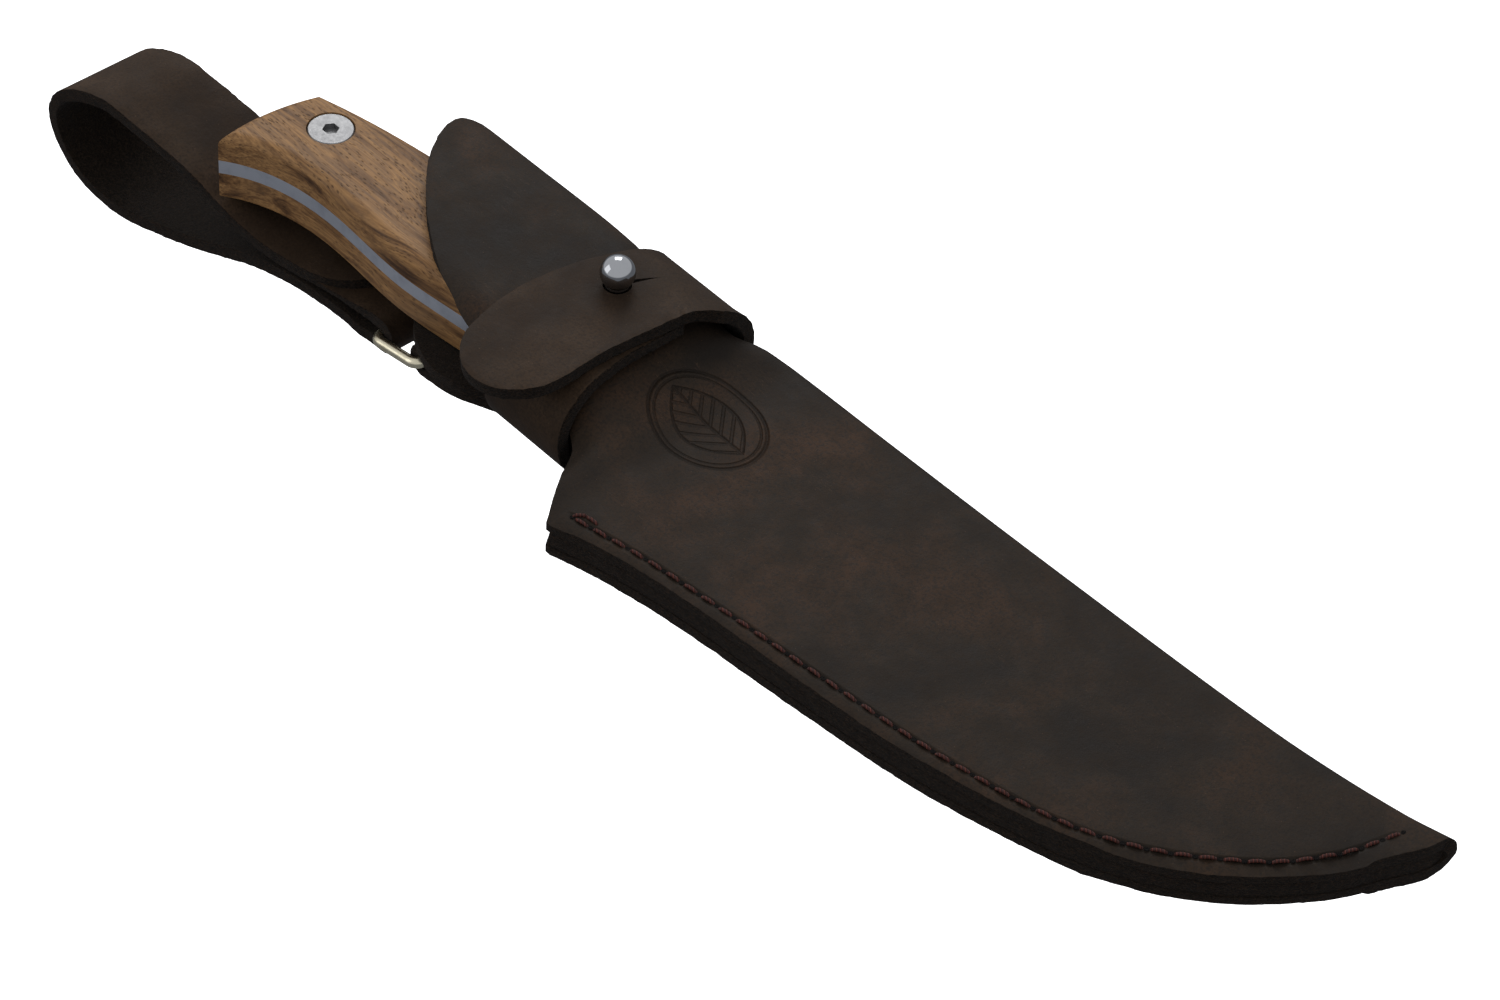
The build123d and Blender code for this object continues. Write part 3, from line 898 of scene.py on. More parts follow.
# ------------------------------------------------------------------------------ leather from flat patterns
@dataclass
class LeatherPattern:
    """A leather piece cut flat and then wrapped into place.

    Args:
        name: the piece's name.
        outline: closed outline on the flat leather, in millimetres.
        cuts_a, cuts_b: where the flat leather is divided along its two directions.
        place: world position of a flat point at a depth below the grain side.
        thickness: thickness in millimetres, fixed or as a function of the flat point.
        edge_round: how far the cut edges are rounded.
        fuzz: how far the fibres of the cut edge stand out.
    """

    name: str
    outline: Sequence[Point]
    cuts_a: Sequence[float]
    cuts_b: Sequence[float]
    place: Place
    thickness: float | Callable[[float, float], float] = 2.8
    edge_round: float = 0.55
    fuzz: float = 0.16

    def thick(self, a: float, b: float) -> float:
        """Thickness at a flat point."""
        return self.thickness(a, b) if callable(self.thickness) else self.thickness

    def flat_mesh(self) -> bmesh.types.BMesh:
        """The outline as a flat face, divided along both directions.

        Returns:
            The divided flat face.
        """
        work = bmesh.new()
        work.faces.new([work.verts.new((a, b, 0)) for a, b in tidy_outline(self.outline)])
        for axis, cuts in ((Vector((1, 0, 0)), self.cuts_a), (Vector((0, 1, 0)), self.cuts_b)):
            for cut in cuts:
                everything = work.verts[:] + work.edges[:] + work.faces[:]
                bmesh.ops.bisect_plane(work, geom=everything, plane_co=axis * cut, plane_no=axis, dist=1e-4)
        bmesh.ops.remove_doubles(work, verts=work.verts[:], dist=0.02)
        return work

    def build(self, materials: Sequence[bpy.types.Material]) -> bpy.types.Object:
        """Wraps the flat leather into a solid piece with rounded, fibrous edges.

        Args:
            materials: grain side, flesh side and cut edge.

        Returns:
            The finished object, with its rest positions stored.
        """
        flat = self.flat_mesh()
        flat.verts.index_update()
        solid = bmesh.new()
        top = [solid.verts.new(self.place(v.co.x, v.co.y, 0.0)) for v in flat.verts]
        under = [solid.verts.new(self.place(v.co.x, v.co.y, self.thick(v.co.x, v.co.y))) for v in flat.verts]
        weight = solid.edges.layers.float.new("bevel_weight_edge")
        for face in flat.faces:
            row = [v.index for v in face.verts]
            solid.faces.new([top[k] for k in row]).material_index = 0
            solid.faces.new([under[k] for k in reversed(row)]).material_index = 1
        rim: list[tuple[int, int]] = []
        for edge in flat.edges:
            if len(edge.link_faces) == 1:
                loop = edge.link_faces[0].loops
                pair = next((l.vert.index, l.link_loop_next.vert.index) for l in loop if l.edge == edge)
                rim.append(pair)
        for first, second in rim:
            wall = solid.faces.new([top[second], top[first], under[first], under[second]])
            wall.material_index = 2
            for pair in ((top[first], top[second]), (under[first], under[second])):
                solid.edges.get(pair)[weight] = 1.0
        solid.normal_update()
        bmesh.ops.recalc_face_normals(solid, faces=solid.faces[:])
        mesh = bpy.data.meshes.new(self.name)
        solid.to_mesh(mesh)
        solid.free()
        flat.free()
        for material in materials:
            mesh.materials.append(material)
        piece = new_object(self.name, mesh)
        bevel = piece.modifiers.new("edge", "BEVEL")
        bevel.limit_method = "WEIGHT"
        bevel.width = self.edge_round * MM
        bevel.segments = 3
        bevel.material = 2
        apply_modifiers(piece)
        self.roughen(piece)
        note_rest(piece)
        smooth_shading(piece, 55.0)
        return piece

    def roughen(self, piece: bpy.types.Object) -> None:
        """Moves the points of the cut edge a little, as loose fibres do.

        Args:
            piece: the piece to roughen.
        """
        mesh = piece.data
        edge_points = {k for face in mesh.polygons if face.material_index == 2 for k in face.vertices}
        for k in edge_points:
            vertex = mesh.vertices[k]
            shift = noise.noise_vector(vertex.co * 900.0) + noise.noise_vector(vertex.co * 2600.0) * 0.6
            vertex.co += shift * self.fuzz * MM * 0.6


def steps(low: float, high: float, step: float) -> list[float]:
    """Evenly spaced cuts from low to high."""
    return [low + k * step for k in range(int((high - low) / step) + 1)]


# ------------------------------------------------------------------------------ sheath
@dataclass
class Sheath:
    """Folded sheath with its welt and seam."""

    leather: float = 2.8
    welt_half: float = 1.9
    strap_side_v: float = 9.2
    curl_v: float = -27.0
    curl_radius: float = 8.4
    stitch_pitch: float = 4.45
    bevel: float = 0.9
    stations: tuple[tuple[float, float, float, float], ...] = (
        (-75, 10.6, 11.5, 9.4), (-62, 10.8, 11.5, 9.4), (-50, 10.9, 11.5, 9.4), (-30, 11.1, 11.5, 9.4),
        (-17, 10.6, 11.5, 9.4), (-12.5, 9.2, 11.5, 9.4), (-4, 9.2, 11.4, 9.4), (12.5, 9.2, 9.3, 8.6),
        (20, 12.2, 7.3, 6.8), (30, 13.5, 4.85, 4.5), (55, 13.9, 4.7, 4.4), (80, 14.3, 4.7, 4.4),
        (112, 15.1, 4.7, 4.4), (138, 15.9, 4.7, 4.4), (158, 16.9, 4.7, 4.4), (172, 18.3, 4.7, 4.4),
        (186, 20.4, 4.7, 4.4), (204, 24.0, 4.7, 4.4),
    )
    edge_line: tuple[Point, ...] = (
        (195.8, 20.2), (195.2, 15.4), (192.6, 9.2), (186.6, -4.2), (173.2, -20.4), (154.2, -32.3),
        (121.2, -41.3), (92, -45.0), (61.2, -47.9), (41.8, -51.2), (30.2, -54.6),
    )
    seam_line: tuple[Point, ...] = (
        (31.8, -50.4), (54.8, -46.1), (91.8, -41.9), (124.4, -37.8), (154.3, -29.8),
        (175.8, -13.4), (185.6, 1.4), (189.8, 14.6),
    )
    petal: tuple[Point, ...] = (
        (-14.5, -36.0), (-21.6, -34.3), (-27.7, -31.9), (-35, -29.0), (-46.8, -22), (-54.2, -16.5),
        (-61.0, -10.4), (-65.8, -4.0), (-68.0, 1.4), (-67.4, 5.6), (-64.2, 9.2),
    )
    tongue: tuple[Point, ...] = (
        (-56.5, 9.0), (-57, 0), (-52, -14), (-43.0, -28.6), (-34, -34.0), (-27, -35.2), (-20, -32.6),
        (-14, -24.5),
    )

    def __post_init__(self) -> None:
        """Prepares the smooth tables of the fold."""
        places = [row[0] for row in self.stations]
        self.fold = steady(places, [row[1] for row in self.stations])
        self.half = steady(places, [row[2] for row in self.stations])
        self.corner = steady(places, [row[3] for row in self.stations])

    def flat_s(self, u: float, v: float, side: int) -> float:
        """Length round the fold, from its middle to a point of one panel."""
        fold, half, corner = self.fold(u), self.half(u), self.corner(u)
        start = fold - corner
        if v <= start:
            return side * (half - corner + corner * math.pi / 2 + start - v)
        return side * (half - corner + corner * math.acos(min((v - start) / corner, 1.0)))

    def wrapped(self, u: float, s: float, depth: float) -> tuple[float, float, float]:
        """u, v, w of a flat point at a depth below the grain side.

        Args:
            u: place along the knife, in millimetres.
            s: length round the fold, in millimetres.
            depth: depth below the grain side, in millimetres.

        Returns:
            The point's u, v and w.
        """
        fold, half, corner = self.fold(u), self.half(u), self.corner(u)
        side = 1 if s >= 0 else -1
        straight, run = half - corner, abs(s)
        if run <= straight:
            return u, fold - depth, side * run
        turn = (run - straight) / corner
        if turn <= math.pi / 2:
            reach = corner - depth
            return u, fold - corner + reach * math.cos(turn), side * (straight + reach * math.sin(turn))
        v = fold - corner - (run - straight - corner * math.pi / 2)
        w = half - depth
        if side > 0:
            v, w = self.curled(u, v, w, half, depth)
        return u, v, side * w

    def curled(self, u: float, v: float, w: float, half: float, depth: float) -> Point:
        """The front panel's turn over the belly of the handle, near the strap."""
        share = 1 - ease(u, 10, 24)
        if v >= self.curl_v or share <= 0:
            return v, w
        turn = (self.curl_v - v) / self.curl_radius
        reach = self.curl_radius - depth
        bent_v = self.curl_v - reach * math.sin(turn)
        bent_w = half - self.curl_radius + reach * math.cos(turn)
        return v + (bent_v - v) * share, w + (bent_w - w) * share

    def edge_dip(self, u: float, s: float, depth: float) -> float:
        """How far the face falls between the seam and the burnished edge.

        Args:
            u: place along the knife, in millimetres.
            s: length round the fold, in millimetres.
            depth: depth below the grain side, in millimetres.

        Returns:
            The fall in millimetres.
        """
        if abs(s) < 20 or u < 26:
            return 0.0
        seam_v = float(np.interp(u, [p[0] for p in self.seam_line], [p[1] for p in self.seam_line]))
        beyond = seam_v - self.wrapped(u, s, 0.0)[1]
        return self.bevel * ease(beyond, 0.6, 4.6) * (1 - depth / self.leather)

    def place(self, u: float, s: float, depth: float) -> Vector:
        """World position of a flat point, with the leather's slight waviness.

        Args:
            u: place along the knife, in millimetres.
            s: length round the fold, in millimetres.
            depth: depth below the grain side, in millimetres.

        Returns:
            The world position.
        """
        point = PLANE.point(*self.wrapped(u, s, depth))
        wave = noise.noise(Vector((u * 0.035, s * 0.05, 3.1))) * 0.35 * ease(abs(s), 6, 16)
        fall = self.edge_dip(u, s, depth) * (1 if s > 0 else -1)
        return point + PLANE.up * (wave * (1 if s > 0 else 0.3) - fall) * MM

    def outline(self) -> list[Point]:
        """The sheath's closed outline on flat leather.

        Returns:
            The outline's points.
        """
        front = smooth_line(self.edge_line, 1.6)
        shoulder = straight_line([(29.0, -54.6), (23.0, -46.4), (16.8, -40.2), (13.5, -37.6)], 1.6)
        under_strap = straight_line([(12.5, -36.8), (-11, -36.6)], 2.0)
        lip = smooth_line(self.petal, 1.4)
        front_points = [(u, self.flat_s(u, v, 1)) for u, v in front + shoulder + under_strap + lip]
        back = smooth_line(self.tongue, 1.6)
        back += straight_line([(-13, -20.5), (13, -20.5), (16, -38), (29.0, -54.6)], 2.0)
        back += smooth_line(self.edge_line, 1.6)[::-1]
        back_points = [(u, self.flat_s(u, v, -1)) for u, v in back]
        mouth = smooth_line([front_points[-1], (-61.0, 5.0), (-59.0, -4.0), back_points[0]], 1.2)[1:-1]
        tip = straight_line([back_points[-1], (196.6, 0.0), front_points[0]], 1.0)[1:-1]
        return front_points + mouth + back_points + tip

    def seam_distance(self, piece: bpy.types.Object) -> None:
        """Stores each point's distance to the seam, and whether it lies beside the seam.

        Args:
            piece: the piece to write the attribute on.
        """
        mesh = piece.data
        seam = np.array(smooth_line(self.seam_line, 1.0))
        places = np.array([PLANE.local(vertex.co)[:2] for vertex in mesh.vertices])
        starts, ends = seam[:-1], seam[1:]
        run = ends - starts
        best = np.full(len(places), 1e3)
        for start, along in zip(starts, run):
            t = np.clip(((places - start) @ along) / (along @ along), 0, 1)
            best = np.minimum(best, np.linalg.norm(places - start - t[:, None] * along, axis=1))
        line_v = np.interp(places[:, 0], seam[:, 0], seam[:, 1])
        signed = np.where(places[:, 1] < line_v, -best, best)
        sewn = (places[:, 0] > seam[0, 0]) & (places[:, 0] < seam[-1, 0])
        rows = np.stack([signed, sewn, np.zeros(len(places))], axis=1)
        layer = mesh.attributes.new("seam_mm", "FLOAT_VECTOR", "POINT")
        layer.data.foreach_set("vector", rows.astype(np.float32).ravel())

    def build_shell(self, finishes: Finishes) -> bpy.types.Object:
        """Builds the folded leather.

        Args:
            finishes: the set's finishes.

        Returns:
            The sheath's leather, riding on the sheath.
        """
        cuts_s = steps(-17, 17, 1.3) + steps(20, 92, 3.0) + steps(-92, -20, 3.0)
        pattern = LeatherPattern(
            "sheath_body", self.outline(), steps(-66, 34, 2.0) + steps(37, 198, 3.0), cuts_s, self.place,
            self.leather, 0.7, 0.2,
        )
        piece = pattern.build(finishes.leather(finishes.sheath_grain))
        self.seam_distance(piece)
        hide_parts("sheath_leather")
        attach(piece, "sheath")
        return piece

    def build_welt(self, finishes: Finishes) -> bpy.types.Object:
        """Builds the strip between the panels, seen as the middle layer of the edge.

        Args:
            finishes: the finishes of the whole set.

        Returns:
            The welt.
        """
        outer = [(u - 0.25, v + 0.25) for u, v in smooth_line(self.edge_line, 1.6)]
        inner = smooth_line(
            [(33.5, -43.5), (60, -39.9), (91, -36.8), (119.6, -33.2), (150, -24.8), (167.5, -14.6),
             (179.6, -1.0), (186.0, 13.0)], 3.0)
        pattern = LeatherPattern(
            "sheath_welt", outer + inner, steps(30, 198, 3.0), [],
            lambda u, v, depth: PLANE.point(u, v, self.welt_half - 0.03 - depth),
            2 * self.welt_half - 0.06, 0.45, 0.22,
        )
        piece = pattern.build([finishes.flesh, finishes.flesh, finishes.edge])
        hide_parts("welt")
        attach(piece, "sheath")
        return piece


@dataclass
class SeamStitching:
    """Rows of waxed thread along the sheath's edge, with a dark disc at each end of a stitch that paints the
    shade of a needle hole.
    """

    sheath: Sheath
    radius: float = 0.36
    length: float = 3.6
    hole: Point = (0.58, 0.44)
    sides: int = 8

    def capsule(self, work: bmesh.types.BMesh, start: Vector, end: Vector, up: Vector, lift: float) -> None:
        """Adds one stitch: a round thread that dives into the leather at both ends."""
        along = end - start
        across = along.cross(up).normalized()
        rings = []
        stages = ((0.0, -0.55, 0.55), (0.08, -0.12, 0.85), (0.25, 0.12, 1.0), (0.5, 0.2, 1.0),
                  (0.75, 0.12, 1.0), (0.92, -0.12, 0.85), (1.0, -0.55, 0.55))
        for share, height, size in stages:
            centre = start + along * share + up * (height + lift) * MM
            ring = []
            for k in range(self.sides):
                turn = 2 * math.pi * k / self.sides
                side = across * math.cos(turn) + up * math.sin(turn)
                ring.append(work.verts.new(centre + side * self.radius * size * MM))
            rings.append(ring)
        for low, high in zip(rings, rings[1:]):
            for k in range(self.sides):
                nxt = (k + 1) % self.sides
                work.faces.new((low[k], low[nxt], high[nxt], high[k])).smooth = True
        work.faces.new(rings[0][::-1])
        work.faces.new(rings[-1])

    def painted_hole_disc(self, work: bmesh.types.BMesh, centre: Vector, along: Vector, up: Vector) -> None:
        """Adds a shallow dark disc where one needle hole is: painted shade that stands in for the hole.

        Args:
            work: the mesh to add to.
            centre: the hole's middle.
            along: direction of the seam.
            up: direction out of the leather.
        """
        across = along.cross(up).normalized()
        rim = []
        for k in range(12):
            turn = 2 * math.pi * k / 12
            rim.append(centre + along * self.hole[0] * math.cos(turn) * MM
                       + across * self.hole[1] * math.sin(turn) * MM)
        low = [work.verts.new(p + up * 0.04 * MM) for p in rim]
        deep = [work.verts.new(p - up * 0.5 * MM) for p in rim]
        work.faces.new(low).material_index = 1
        work.faces.new(deep[::-1]).material_index = 1
        for k in range(12):
            nxt = (k + 1) % 12
            work.faces.new((low[nxt], low[k], deep[k], deep[nxt])).material_index = 1

    def build(self, finishes: Finishes) -> bpy.types.Object:
        """Builds both rows of stitches.

        Args:
            finishes: the set's finishes.

        Returns:
            The stitching, riding on the sheath.
        """
        path = Path(smooth_line(self.sheath.seam_line, 0.8))
        count = int(path.length / self.sheath.stitch_pitch)
        work = bmesh.new()
        for side in (1, -1):
            for k in range(count + 1):
                middle = (k + 0.5) * path.length / count
                ends = []
                for s in (middle - self.length / 2, middle + self.length / 2):
                    (u, v), _ = path.at(s)
                    drift = 0.10 * math.sin(k * 2.3 + s)
                    depth_place = self.sheath.place(u, self.sheath.flat_s(u, v + drift, side), 0.0)
                    ends.append(depth_place)
                up = PLANE.up * side
                if k < count:
                    self.capsule(work, ends[0], ends[1], up, 0.02 if side > 0 else -0.12)
                hole_s = middle - path.length / count / 2
                (u, v), _ = path.at(hole_s)
                centre = self.sheath.place(u, self.sheath.flat_s(u, v, side), 0.0)
                # Painted shade: a dark disc on the leather in place of a needle hole.
                self.painted_hole_disc(work, centre, (ends[1] - ends[0]).normalized(), up)
            if side > 0:
                for pair in (((31.4, -50.2), (33.6, -47.9)), ((33.2, -48.3), (36.6, -48.0))):
                    points = [self.sheath.place(u, self.sheath.flat_s(u, v, 1), 0.0) for u, v in pair]
                    self.capsule(work, points[0], points[1], PLANE.up, 0.12)
        bmesh.ops.recalc_face_normals(work, faces=work.faces[:])
        mesh = bpy.data.meshes.new("seam_stitching")
        work.to_mesh(mesh)
        work.free()
        mesh.materials.append(finishes.thread)
        mesh.materials.append(finishes.needle_hole_painted_shade)
        piece = new_object("seam_stitching", mesh)
        note_rest(piece)
        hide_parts("seam_thread")
        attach(piece, "sheath")
        return piece


# ------------------------------------------------------------------------------ retention strap
@dataclass
class RetentionStrap:
    """Strap round the handle, with its button end, ball stud and buttonhole."""

    sheath: Sheath
    thickness: float = 2.8
    half_width: float = 11.5
    band_w: float = 13.1
    flap_w: float = 16.2
    turn_radius: float = 15.6
    turn_v: float = -4.4
    ball: Point = (-3.0, -9.5)
    hole_radius: float = 2.95
    slit_end: Point = (0.6, -0.9)
    button_edge: tuple[Point, ...] = (
        (14.6, 14.0), (15.2, 7.0), (14.8, 2.6), (13.2, -0.8), (11.9, -5.0), (11.2, -12.0), (10.4, -20.0),
        (10.2, -27.0), (10.6, -34.0), (9.6, -40.6), (5.2, -46.2), (-1.0, -48.3), (-7.0, -46.6),
        (-11.4, -41.8), (-13.6, -34.5), (-14.7, -26.0), (-14.2, -17.5), (-12.7, -10.0), (-10.8, -4.0),
        (-9.4, 2.0), (-9.2, 8.0), (-9.6, 14.0),
    )

    def band_path(self) -> Path:
        """Section path of the inner band: top, belly turn and back, as (v, w).

        Returns:
            The section path.
        """
        w = self.band_w
        points = [(-1.5, w), (-8, w), (-15, w), (-21, w)]
        points += arc_points((-27, w - 10), 10.0, 90, 180)
        points += [(-36.4, -1.6), (-33.6, -6.2), (-29.4, -10.1), (-24.6, -12.5),
                   (-20, -w), (-14, -w), (-9, -w)]
        return Path(smooth_line(points, 0.7))

    def flap_path(self) -> Path:
        """Section path of the outer strap: back, spine turn and button end, as (v, w).

        Returns:
            The section path.
        """
        side = self.turn_v + self.turn_radius
        turn_w = self.flap_w - self.turn_radius
        points = [(-12, -self.band_w), (-6, -self.band_w)]
        points += arc_points((side - 12, -self.band_w + 12), 12.0, -90, 0)
        points += arc_points((self.turn_v, turn_w), self.turn_radius, 0, 90)
        points += [(-12, self.flap_w), (-22, self.flap_w), (-34, self.flap_w - 0.1), (-44, self.flap_w - 0.6),
                   (-54, self.flap_w - 1.6)]
        return Path(smooth_line(tidy_outline(points, 0.3), 0.7))

    def build_band(self, finishes: Finishes) -> bpy.types.Object:
        """Builds the inner band, which carries the stud.

        Args:
            finishes: the set's finishes.

        Returns:
            The band, riding on the sheath.
        """
        path = self.band_path()

        def place(s: float, u: float, depth: float) -> Vector:
            """Wraps the band round the belly of the handle, leaning towards the tip there."""
            point, normal = path.at(s)
            lean = 2.0 * ease(s, 16, 34) * (1 - ease(s, 46, 66))
            v, w = point - normal * (depth - self.thickness / 2)
            return PLANE.point(u + lean, float(v), float(w))

        half = self.half_width
        outline = straight_line([(0, -half + 3), (3, -half), (path.length, -half), (path.length, half),
                                 (3, half), (0, half - 3), (0, -half + 3)], 1.6)
        pattern = LeatherPattern("retention_band", outline, steps(1.2, path.length, 1.5),
                                 steps(-9, 9, 3.0), place, self.thickness, 0.6, 0.2)
        if path.at(5.0)[1][1] < 0:
            path.turn_over()
        piece = pattern.build(finishes.leather(finishes.strap_grain))
        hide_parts("retention_strap")
        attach(piece, "sheath")
        return piece

    def build_flap(self, finishes: Finishes) -> bpy.types.Object:
        """Builds the outer strap with its button end.

        Args:
            finishes: the set's finishes.

        Returns:
            The strap.
        """
        path = self.flap_path()
        if path.at(path.length - 10)[1][1] < 0:
            path.turn_over()
        top_start = self.length_at_top(path)

        def place(s: float, u: float, depth: float) -> Vector:
            """Wraps the strap round the spine, riding out where the fold widens."""
            point, normal = path.at(s)
            v, w = point - normal * (depth - self.thickness / 2)
            out = max(0.0, self.sheath.fold(u) - self.sheath.strap_side_v)
            out *= 0.6 * ease(float(point[0]), -3.0, 9.0)
            lift = 0.35 * math.exp(-((u - self.ball[0]) ** 2 + (v - self.ball[1]) ** 2) / 30) * (w > 10)
            return PLANE.point(u, float(v) + out, float(w) + lift * 0.5)

        rim = smooth_line(self.button_edge, 1.2)
        flat_rim = [(top_start - v, u) for u, v in rim]
        tail = straight_line([(flat_rim[-1][0], flat_rim[-1][1]), (24, -9.6), (0, -9.6), (0, 12.4),
                              (24, 13.4),
                              (flat_rim[0][0], flat_rim[0][1])], 1.8)[1:-1]
        pattern = LeatherPattern("strap_button_end", flat_rim + tail, steps(1.0, path.length, 1.5),
                                 steps(-12, 15, 3.0), place, self.thickness, 0.6, 0.22)
        piece = pattern.build(finishes.leather(finishes.strap_grain))
        self.cut_buttonhole(piece, finishes)
        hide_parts("strap_button_end")
        PLANE.point(0, 7.5, 10.5)
        PLANE.point(0, 1.0, 17.0)
        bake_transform(piece)
        return piece

    def length_at_top(self, path: Path) -> float:
        """Path length at which v would be 0, carried back along the flat top.

        Args:
            path: the section path.

        Returns:
            The length in millimetres.
        """
        for s in np.arange(path.length, 0, -0.25):
            point, _ = path.at(float(s))
            if point[0] >= self.turn_v:
                return float(s) + self.turn_v
        return 0.0

    def cut_buttonhole(self, piece: bpy.types.Object, finishes: Finishes) -> None:
        """Cuts the round buttonhole and its slit through the button end.

        Args:
            piece: the button end.
            finishes: the finishes of the whole set.
        """
        work = bmesh.new()
        u0, v0 = self.ball
        du, dv = self.slit_end[0] - u0, self.slit_end[1] - v0
        heading = math.atan2(dv, du)
        reach = math.hypot(du, dv)
        rim: list[Point] = []
        for k in range(41):
            turn = heading + 0.18 + (2 * math.pi - 0.36) * k / 40
            rim.append((u0 + self.hole_radius * math.cos(turn), v0 + self.hole_radius * math.sin(turn)))
        rim.append((u0 + reach * math.cos(heading), v0 + reach * math.sin(heading)))
        low = [work.verts.new(PLANE.point(u, v, 12.9)) for u, v in rim]
        high = [work.verts.new(PLANE.point(u, v, 21.5)) for u, v in rim]
        work.faces.new(low[::-1])
        work.faces.new(high)
        for k in range(len(rim)):
            nxt = (k + 1) % len(rim)
            work.faces.new((low[k], low[nxt], high[nxt], high[k]))
        bmesh.ops.recalc_face_normals(work, faces=work.faces[:])
        mesh = bpy.data.meshes.new("buttonhole_punch")
        work.to_mesh(mesh)
        work.free()
        for material in finishes.leather(finishes.strap_grain):
            mesh.materials.append(material)
        mesh.polygons.foreach_set("material_index", [2] * len(mesh.polygons))
        punch = new_object("buttonhole_punch", mesh)
        cut = piece.modifiers.new("buttonhole", "BOOLEAN")
        cut.operation = "DIFFERENCE"
        cut.solver = "EXACT"
        cut.object = punch
        apply_modifiers(piece)
        bpy.data.objects.remove(punch)
        note_rest(piece)
        smooth_shading(piece, 55.0)


# ------------------------------------------------------------------------------ hanger
@dataclass
class HangerTab:
    """Folded leather tab that holds the wire ring under the sheath."""

    thickness: float = 2.4
    bar: Point = (-38.5, -17.0)
    curl: float = 2.8
    middle_v: float = -17.4
    wide: float = 12.8
    narrow: float = 7.7

    def build(self, finishes: Finishes) -> bpy.types.Object:
        """Builds the tab, flat on the table at its toe.

        Args:
            finishes: the finishes of the whole set.

        Returns:
            The tab.
        """
        upper = [(13, -15.8), (-10, -15.8), (-26, -15.8), (-33, -14.7)]
        turn = arc_points(self.bar, self.curl, 95, 265)
        lower = [(-33, -19.0), (-26, -18.3), (-10, -18.2), (13, -18.2)]
        path = Path(smooth_line(upper + turn + lower, 0.7))
        if path.at(3.0)[1][1] < 0:
            path.turn_over()

        def place(s: float, v: float, depth: float) -> Vector:
            """Wraps the tab round the ring's bar, narrower towards its toe."""
            point, normal = path.at(s)
            u, w = point - normal * (depth - self.thickness / 2)
            share = ease(float(u), -31, -14)
            width = self.wide + (self.narrow - self.wide) * share
            world = PLANE.point(float(u), self.middle_v + v / self.wide * width, float(w))
            world.z = max(world.z, 0.00002)
            return world

        wide = self.wide
        outline = straight_line([(0, -wide), (path.length, -wide), (path.length, wide),
                                 (0, wide), (0, -wide)], 1.6)
        pattern = LeatherPattern("hanger_fold", outline, steps(1.0, path.length, 1.4), steps(-9, 9, 3.0),
                                 place, self.thickness, 0.45, 0.16)
        piece = pattern.build(finishes.leather(finishes.strap_grain))
        for vertex in piece.data.vertices:
            vertex.co.z = max(vertex.co.z, 0.00002)
        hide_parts("hanger_tab")
        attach(piece, "sheath")
        return piece


